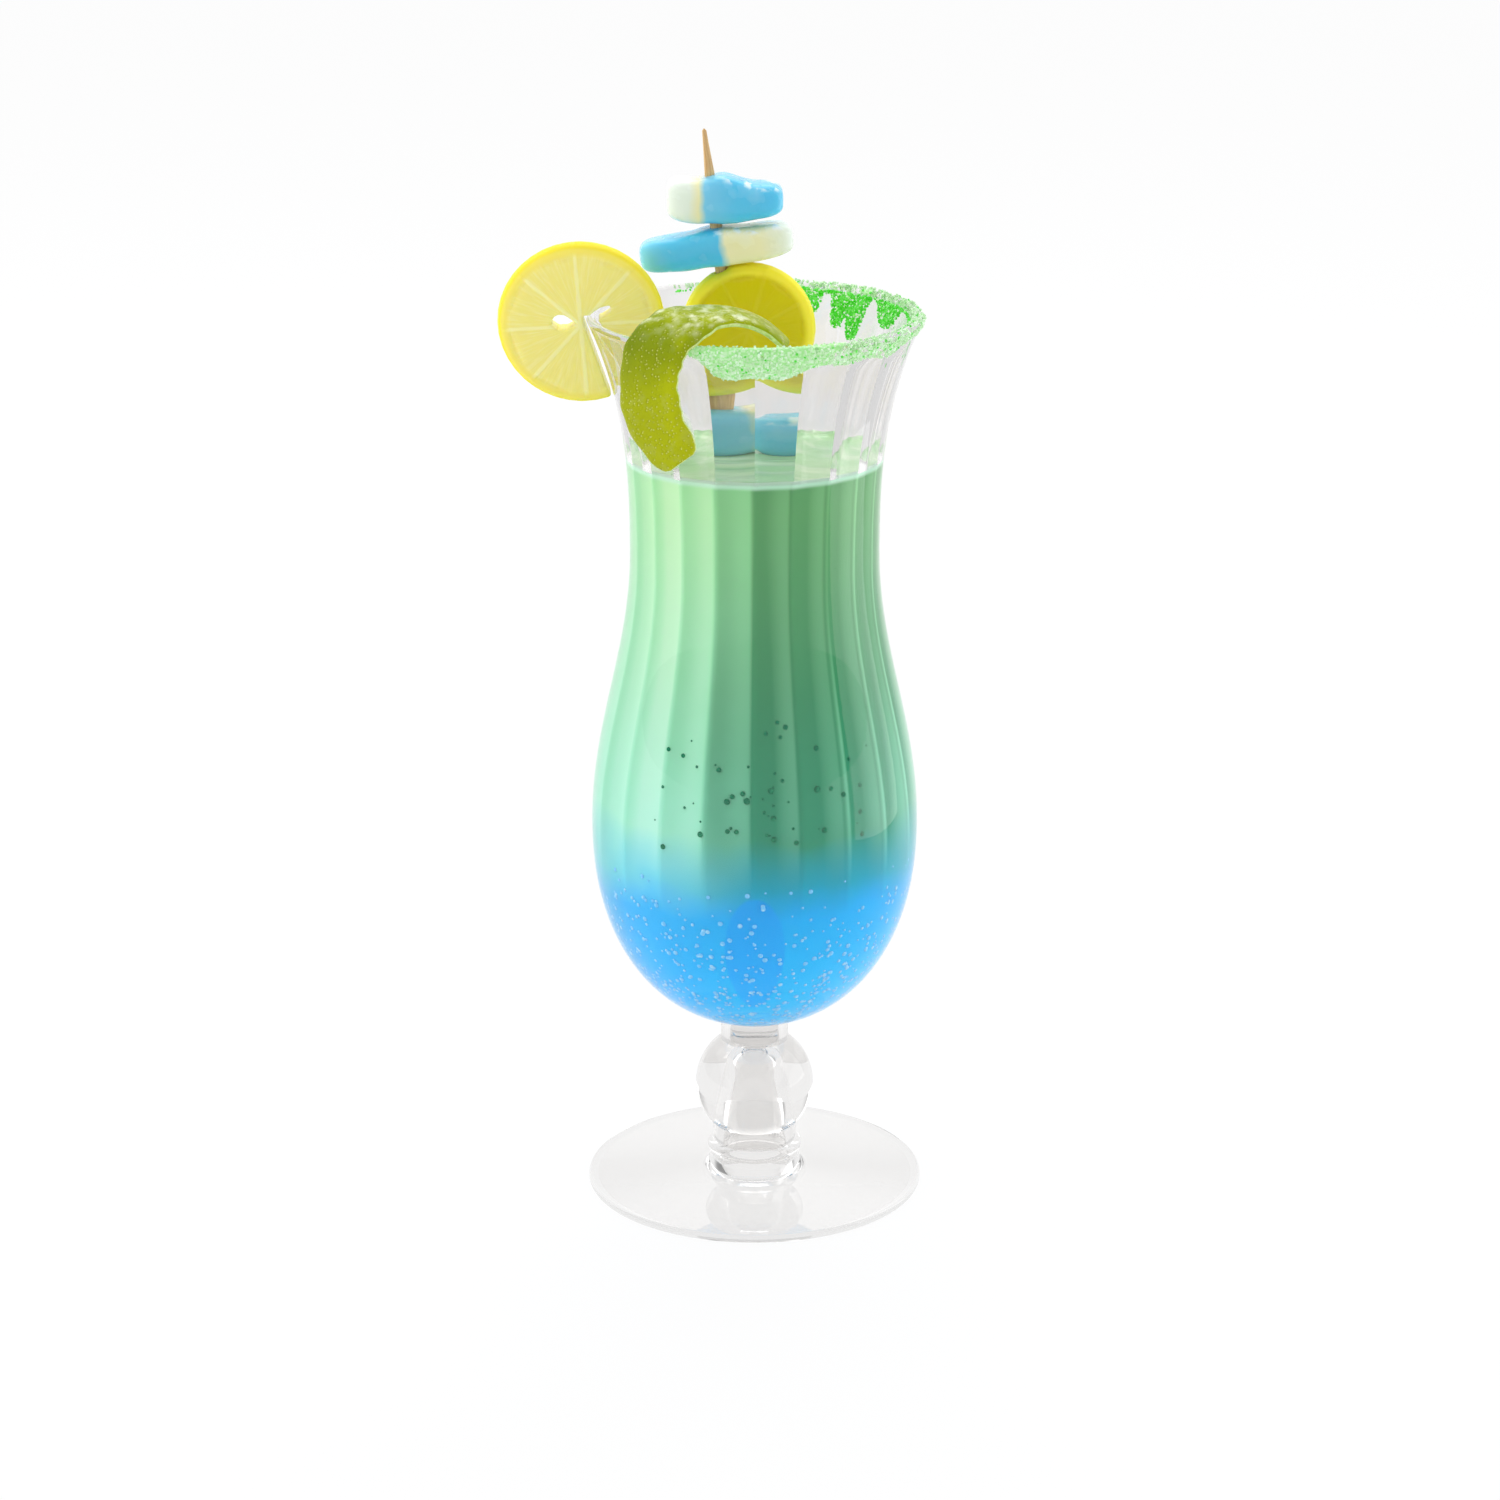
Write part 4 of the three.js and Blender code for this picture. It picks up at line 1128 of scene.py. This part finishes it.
class GLASS_OT_skewer(Operator):
    """Builds the pick and the candies on it"""

    bl_idname = "glass.skewer"
    bl_label = "Pick and candies"

    def execute(self, context):
        look = context.scene.glass_garnish
        wood = [wood_finish(look)]
        piece("pick_stick", skin(pick_rows()), "skewer", wood, "pick", "bamboo", pick_frame())
        for place, candy in enumerate(CANDIES):
            node, back, long, high, tilt, shift, taper, meet, blue_first = candy
            name = node + "_candy"
            mesh = skin(candy_rows(long * MM, high * MM, taper, DENT_SHIFT * place))
            spot = PICK_TIP - PICK_UP * back * MM
            turn = Matrix.Rotation(math.radians(tilt), 4, "Y")
            matrix = Matrix.Translation(spot) @ turn @ Matrix.Translation((shift * MM, 0, 0))
            jelly = candy_finish(name, look, long * MM, meet, blue_first)
            piece(name, mesh, "skewer", [jelly], node, "gummy", matrix)
        return {"FINISHED"}


# Lemon

LEMON_VOXEL, LEMON_SOFTENING = 0.32 * MM, 6
LEMON_SEGMENTS = 8
WHEEL_RADIUS, SLICE_RADIUS = 18.7 * MM, 15.1 * MM
WHEEL_TILT, WHEEL_TURN = 8, 4
WHEEL_OUT, WHEEL_DROP = 1.2 * MM, 1.9 * MM
SLICE_TURN, SLICE_FROM_TIP, SLICE_SHIFT = 22, 45.8 * MM, 4.5 * MM
WHEEL_PALE, SLICE_PALE = linear(250, 246, 190), linear(240, 228, 80)
WHEEL_DRAWN, SLICE_DRAWN = 0.9, 0.2


def evened(node, matrix):
    """A CAD solid's surface as an even, softened mesh in the axes of a matrix."""
    source = frame["nodes"][node].data.copy()
    rough = bpy.data.objects.new(node + "_rough", source)
    bpy.context.scene.collection.objects.link(rough)
    even = rough.modifiers.new("even", "REMESH")
    even.mode, even.voxel_size = "VOXEL", LEMON_VOXEL
    soft = rough.modifiers.new("soft", "SMOOTH")
    soft.factor, soft.iterations = 0.5, LEMON_SOFTENING
    ready = rough.evaluated_get(bpy.context.evaluated_depsgraph_get())
    mesh = bpy.data.meshes.new_from_object(ready)
    mesh.materials.clear()
    bpy.data.objects.remove(rough)
    bpy.data.meshes.remove(source)
    mesh.transform(matrix.inverted())
    return mesh


def lemon_finish(name, radius, turn, flesh_tint, rind_tint, pale, drawn):
    """Lemon: waxy rind, and flesh of radial cells between membranes that are drawn faint or clear."""
    finish = Finish(name)
    place = finish.place()
    x, y, z = finish.parts(place)
    out = (x * x + z * z) ** 0.5
    segment = 2 * math.pi / LEMON_SEGMENTS
    angle = z.turn(x) / segment + (10 - turn / (360 / LEMON_SEGMENTS))
    within = angle.fraction()
    to_membrane = within.least(1 - within) * out * segment
    wander = finish.noise(place, 4 * MM, detail=2) - 0.5
    membrane = 1 - finish.step(to_membrane + wander * (0.6 * MM), 0.15 * MM, 0.65 * MM)
    cells = finish.cells(finish.vector(angle * 0.009, out * 0.28, y * 0.3), 1.0 * MM)
    fibres = finish.noise(finish.vector(angle * 0.03, out * 0.25, y * 0.3), 1.2 * MM, detail=3)
    ring = finish.step(out + wander * (1.2 * MM), radius - 3.3 * MM, radius - 1.5 * MM)
    skin_edge = finish.step(out, radius - 1.4 * MM, radius - 0.5 * MM)
    juicy = finish.mix(finish.step(fibres, 0.4, 0.75) * drawn * 0.4, flesh_tint, pale)
    inside = finish.mix(membrane * drawn * 0.75, juicy, pale)
    pithy = finish.mix(skin_edge, finish.mix(0.25, rind_tint, pale), rind_tint)
    relief = cells * 0.6 + fibres * 0.4 + membrane * 0.8
    return finish.show(finish.principled(
        Base_Color=finish.mix(ring, inside, pithy),
        Roughness=0.26 + 0.2 * ring,
        IOR=1.38,
        Specular_IOR_Level=0.3,
        Subsurface_Weight=0.8,
        Subsurface_Radius=(1.0, 0.9, 0.35),
        Subsurface_Scale=3 * MM,
        Coat_Weight=0.12 - 0.1 * ring,
        Normal=finish.bump(relief, 0.35, 0.35 * MM),
    ))


class GLASS_OT_lemon(Operator):
    """Builds the lemon wheel on the rim and the lemon slice on the pick"""

    bl_idname = "glass.lemon"
    bl_label = "Lemon"

    def execute(self, context):
        size, look = context.scene.glass_bowl, context.scene.glass_garnish
        centre = (AXIS_X - size.rim_radius - WHEEL_OUT, 0, size.rim_height - WHEEL_DROP)
        matrix = Matrix.Translation(centre) @ Matrix.Rotation(math.radians(WHEEL_TILT), 4, "X")
        mesh = evened("lemon_wheel", matrix)
        cut = "lemon_wheel", WHEEL_RADIUS, WHEEL_TURN
        finish = lemon_finish(*cut, look.wheel_flesh, look.wheel_rind, WHEEL_PALE, WHEEL_DRAWN)
        piece("lemon_wheel_round", mesh, "lemon_wheel", [finish], "lemon_wheel", "lemon", matrix)

        matrix = pick_frame() @ Matrix.Translation((SLICE_SHIFT, 0, -SLICE_FROM_TIP))
        mesh = evened("lemon_slice", matrix)
        cut = "lemon_slice", SLICE_RADIUS, SLICE_TURN
        finish = lemon_finish(*cut, look.slice_flesh, look.slice_rind, SLICE_PALE, SLICE_DRAWN)
        piece("lemon_slice_round", mesh, "skewer", [finish], "lemon_slice", "lemon", matrix)
        return {"FINISHED"}


# Lime peel

PEEL_WIDTH, PEEL_THICKNESS, PEEL_TIP, PEEL_TAPER = 14.5 * MM, 2.2 * MM, 0.45, 6
PEEL_CAMBER = 0.7 * MM
# Exponents that square the section of the strip
PEEL_ACROSS, PEEL_DEEP = 0.4, 0.6
SHORTEST_CHORD = 1e-9
PEEL_STEPS, PEEL_SIDES = 150, 48
PEEL_ROUTE = (
    # degrees round the rim from the right, outward and up from it in millimetres, direction across
    (-112.5, 3.8, -25, (0.8, -0.3, 0.5)),
    (-121, 4.1, -17, (0.87, -0.45, 0.2)),
    (-124, 3.7, -9, (0.87, -0.5, 0)),
    (-123, 2, -1.5, (0.8, -0.55, -0.2)),
    (-119, -1.8, 3, (0.62, -0.72, -0.3)),
    (-112, -7.8, 4.8, (0.4, -0.88, -0.1)),
    (-100, -12.8, 4.2, (0.2, -0.95, 0)),
    (-85, -15.3, 1.4, (0.15, -0.95, 0)),
    (-73, -15.5, -2.6, (0.1, -0.97, 0)),
)


def through(stations, steps):
    """Points on a smooth curve through stations, by centripetal Catmull-Rom spans."""
    stations = np.asarray(stations, float)
    ends = 2 * stations[0] - stations[1], 2 * stations[-1] - stations[-2]
    line = np.concatenate([ends[:1], stations, ends[1:]])
    points = []
    for place in np.linspace(0, len(stations) - 1, steps + 1):
        span = min(int(place), len(stations) - 2)
        a, b, c, d = line[span : span + 4]
        chords = b - a, c - b, d - c
        before, within, after = (max(np.linalg.norm(chord) ** 0.5, SHORTEST_CHORD) for chord in chords)
        leave = ((b - a) / before - (c - a) / (before + within) + (c - b) / within) * within
        arrive = ((c - b) / within - (d - b) / (within + after) + (d - c) / after) * within
        t = place - span
        hermite = (2 * t**3 - 3 * t**2 + 1) * b + (t**3 - 2 * t**2 + t) * leave
        points.append(hermite + (3 * t**2 - 2 * t**3) * c + (t**3 - t**2) * arrive)
    return np.array(points)


def peel_rows(size):
    """Rings along the strip; the zest side is the first half of each."""
    stations = []
    for turn, out, up, _ in PEEL_ROUTE:
        reach, height = size.rim_radius + out * MM, size.rim_height + up * MM
        stations.append(by_rim(math.radians(turn), reach, height))
    middle = through(stations, PEEL_STEPS)
    ahead = unit(np.gradient(middle, axis=0))
    face = unit(np.cross(through([across for *_, across in PEEL_ROUTE], PEEL_STEPS), ahead))
    side = np.cross(ahead, face)
    along = np.linspace(-1, 1, PEEL_STEPS + 1)
    ends = np.sqrt(np.clip(1 - along**PEEL_TAPER, 0, 1))
    half = PEEL_WIDTH / 2 * (PEEL_TIP + (1 - PEEL_TIP) * ends)
    half = half * (1 + 0.025 * np.sin(17 * along) + 0.02 * np.sin(41 * along + 1))
    angle = (np.arange(PEEL_SIDES) + 0.5) * 2 * np.pi / PEEL_SIDES
    across = np.sign(np.cos(angle)) * np.abs(np.cos(angle)) ** PEEL_ACROSS
    deep = np.sign(np.sin(angle)) * np.abs(np.sin(angle)) ** PEEL_DEEP
    camber = PEEL_CAMBER * (0.5 - across**2)
    rows = middle[:, None] + side[:, None] * (half[:, None] * across)[..., None]
    return rows + face[:, None] * (PEEL_THICKNESS / 2 * deep + camber)[None, :, None]


# Ranges of painted shade where the zest faces left and of painted light towards its lower end
SHADED_ZEST, LOWER_END = (0.25, 0.65), (192 * MM, 214 * MM)
# Colours of the painted shade and the painted light on the zest
ZEST_SHADE, ZEST_LIGHT = linear(88, 114, 0), linear(206, 208, 10)
# Colours of the oil glands and of the painted highlight
ZEST_DOTS, ZEST_HIGHLIGHT = linear(222, 226, 120), linear(242, 247, 206)
PITH_GREEN = linear(188, 208, 110)


def zest_finish(look):
    """Waxy lime skin with oil glands; painted shade where it faces left, painted light lower down, painted
    highlights on top in wet patches.
    """
    finish = Finish("lime_zest")
    place = finish.place()
    glands = finish.cells(place, 0.85 * MM)
    dots = 1 - finish.step(glands, 0.08, 0.34)
    patches = finish.noise(place, 7 * MM, detail=3)
    wet_and_highlight = finish.noise(place, 2.4 * MM, detail=4)
    tint = finish.mix(finish.step(patches, 0.3, 0.75), look.zest, look.zest_pale)
    aside, _, upward = finish.facing()
    lower_end = 1 - finish.step(finish.parts(place)[2], *LOWER_END)
    # Painted shade where the zest faces left
    tint = finish.mix(finish.step(0 - aside, *SHADED_ZEST) * 0.8, tint, ZEST_SHADE)
    # Painted light towards the lower end of the peel
    tint = finish.mix(lower_end * 0.45, tint, ZEST_LIGHT)
    tint = finish.mix(dots * 0.55, tint, ZEST_DOTS)
    # Painted highlight on upward faces in the wet patches, which also get a glossy coat
    zest_highlight = finish.step(upward, 0.55, 1.0) * finish.step(wet_and_highlight, 0.40, 0.72)
    return finish.show(finish.principled(
        Base_Color=finish.mix(zest_highlight * 0.75, tint, ZEST_HIGHLIGHT),
        Roughness=0.24 + 0.2 * patches,
        IOR=1.45,
        Specular_IOR_Level=0.15,
        Coat_Weight=finish.step(wet_and_highlight, 0.52, 0.7) * 0.7,
        Coat_Roughness=0.07,
        Normal=finish.bump(finish.step(glands, 0.05, 0.5), 0.8, 0.22 * MM),
    ))


def pith_finish(look):
    """Spongy pith, greener in places."""
    finish = Finish("lime_pith")
    place = finish.place()
    sponge = finish.noise(place, 0.9 * MM, detail=4)
    return finish.show(finish.principled(
        Base_Color=finish.mix(finish.step(sponge, 0.35, 0.7), look.pith, PITH_GREEN),
        Roughness=0.5,
        Subsurface_Weight=0.4,
        Subsurface_Radius=(1.0, 1.0, 0.5),
        Subsurface_Scale=1.5 * MM,
        Normal=finish.bump(sponge, 0.4, 0.2 * MM),
    ))


class GLASS_OT_lime(Operator):
    """Hangs the strip of lime peel over the rim"""

    bl_idname = "glass.lime"
    bl_label = "Lime peel"

    def execute(self, context):
        size, look = context.scene.glass_bowl, context.scene.glass_garnish
        rows = peel_rows(size)
        rows[..., 2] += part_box("lime_twist")[1].z - rows[..., 2].max()
        mesh = skin(rows)
        deep = np.tile(np.arange(PEEL_SIDES) >= PEEL_SIDES // 2, PEEL_STEPS)
        parts = np.ones(len(mesh.polygons), np.int32)
        parts[: len(deep)] = deep
        mesh.polygons.foreach_set("material_index", parts)
        sides = [zest_finish(look), pith_finish(look)]
        piece("lime_peel", mesh, "lime_twist", sides, "lime_twist", "lime_peel")
        return {"FINISHED"}


# Stage

FLOOR_REACH = 8.0
FLOOR_GRAIN = linear(228, 228, 230)
LAMPS = (
    # name, place, width, height, watts, seen in reflections
    ("key_left", (-1.15, 0.10, 0.55), 1.30, 1.40, 8.0, False),
    ("card_right", (0.36, 0.02, 0.16), 0.30, 0.32, 0.35, True),
    ("top_back", (0.05, 0.70, 0.95), 0.80, 0.50, 6.0, False),
)
LIT_PLACE = Vector((AXIS_X, 0, 0.12))
SENSOR_WIDTH, CLIP_START = 36, 0.01


def seen(nodes):
    """1 where the camera looks, straight, through the glass or in a reflection."""
    straight, past_glass = nodes.ray("Is Camera Ray"), nodes.ray("Is Transmission Ray")
    return straight.most(past_glass).most(nodes.ray("Is Glossy Ray"))


def floor_finish(look):
    """Pale floor that keeps the shadow and is nearly white where it is seen."""
    finish = Finish("floor")
    grain = finish.noise(finish.place(), 60 * MM, detail=2)
    tint = finish.mix(grain * 0.04, look.floor, FLOOR_GRAIN)
    matt = finish.add("ShaderNodeBsdfDiffuse", inputs={"Color": tint})
    white = finish.add("ShaderNodeEmission", inputs={"Color": (1, 1, 1, 1), "Strength": 1.0})
    factor = seen(finish) * look.floor_white
    return finish.show(finish.add("ShaderNodeMixShader", inputs={0: factor, 1: matt, 2: white}))


WINDOW = Vector((0.05, 0.57, 0.82)).normalized()
# Shares of the direction over which each fades in
WINDOW_FADE, FRONT_FADE, SIDE_FADE = (0.84, 0.98), (-0.75, 0.1), (0.7, 0.95)


def studio(look):
    """A pale room with a soft bright window high at the back, darker at its sides and a little in front.

    The window and the darker places are only seen in reflections and through the glass.
    """
    world = bpy.data.worlds.new("studio")
    bpy.context.scene.world = world
    world.use_nodes = True
    nodes = Nodes(world.node_tree)
    right, back, up = nodes.parts(nodes.add("ShaderNodeTexCoord", output="Generated"))
    front = 1 - nodes.step(back, *FRONT_FADE)
    near_window = right * WINDOW.x + back * WINDOW.y + up * WINDOW.z
    mirrored = 1 - nodes.ray("Is Camera Ray")
    window = nodes.step(near_window, *WINDOW_FADE) * look.window
    sides = nodes.step((right * right) ** 0.5, *SIDE_FADE)
    room = 1 + mirrored * (window - front * (1 - look.front) - sides * (1 - look.sides))
    visible = seen(nodes)
    strength = visible * room + (1 - visible) * look.ambient
    light = nodes.add("ShaderNodeBackground", inputs={"Color": (1, 1, 1, 1), "Strength": strength})
    nodes.add("ShaderNodeOutputWorld", inputs={"Surface": light})


class GLASS_OT_stage(Operator):
    """Sets up the camera, the lamps, the room and the floor"""

    bl_idname = "glass.stage"
    bl_label = "Stage"

    def execute(self, context):
        scene, look = context.scene, context.scene.glass_stage
        camera = bpy.data.objects.new("camera", bpy.data.cameras.new("camera"))
        scene.collection.objects.link(camera)
        camera.data.lens, camera.data.sensor_width = look.camera_lens, SENSOR_WIDTH
        camera.data.clip_start = CLIP_START
        camera.location = (AXIS_X - look.camera_left, -look.camera_distance, look.camera_height)
        camera.rotation_euler = (math.radians(90 - look.camera_pitch), 0, 0)
        scene.camera = camera
        scene.view_settings.view_transform = "Standard"
        scene.cycles.caustics_reflective = scene.cycles.caustics_refractive = False

        for name, place, wide, high, watts, mirrored in LAMPS:
            lamp = bpy.data.lights.new(name, "AREA")
            lamp.shape, lamp.size, lamp.size_y, lamp.energy = "RECTANGLE", wide, high, watts
            made = bpy.data.objects.new(name, lamp)
            made.location = place
            made.visible_glossy = mirrored
            made.rotation_euler = (LIT_PLACE - Vector(place)).to_track_quat("-Z", "Y").to_euler()
            scene.collection.objects.link(made)

        studio(look)
        corners = [(x * FLOOR_REACH, y * FLOOR_REACH, 0) for x, y in ((-1, -1), (1, -1), (1, 1), (-1, 1))]
        mesh = bpy.data.meshes.new("floor")
        mesh.from_pydata(corners, [], [(0, 1, 2, 3)])
        mesh.materials.append(floor_finish(look))
        floor = bpy.data.objects.new("floor", mesh)
        scene.collection.objects.link(floor)
        return {"FINISHED"}


# Add-on

GROUPS = {
    "glass_bowl": BowlSizes,
    "glass_stem": StemSizes,
    "glass_drink": DrinkLook,
    "glass_garnish": GarnishLook,
    "glass_stage": StageLook,
}
STEPS = (
    GLASS_OT_stage,
    GLASS_OT_mouldings,
    GLASS_OT_drink,
    GLASS_OT_sugar,
    GLASS_OT_skewer,
    GLASS_OT_lemon,
    GLASS_OT_lime,
)


class GLASS_PT_build(Panel):
    """Lists the steps and the sizes and colours that they use"""

    bl_idname = "GLASS_PT_build"
    bl_label = "Dressed glass"
    bl_space_type = "VIEW_3D"
    bl_region_type = "UI"
    bl_category = "Glass"

    def draw(self, context):
        for step in STEPS:
            self.layout.operator(step.bl_idname)
        for name, group in GROUPS.items():
            box = self.layout.box()
            box.label(text=group.__doc__)
            for field in group.__annotations__:
                box.prop(getattr(context.scene, name), field)


def register():
    for made in (*GROUPS.values(), *STEPS, GLASS_PT_build):
        bpy.utils.register_class(made)
    for name, group in GROUPS.items():
        setattr(bpy.types.Scene, name, PointerProperty(type=group))


def unregister():
    for name in GROUPS:
        delattr(bpy.types.Scene, name)
    for made in (GLASS_PT_build, *reversed(STEPS), *reversed(GROUPS.values())):
        bpy.utils.unregister_class(made)


def main():
    register()
    for step in STEPS:
        family, name = step.bl_idname.split(".")
        getattr(getattr(bpy.ops, family), name)()


if __name__ == "__main__":
    main()
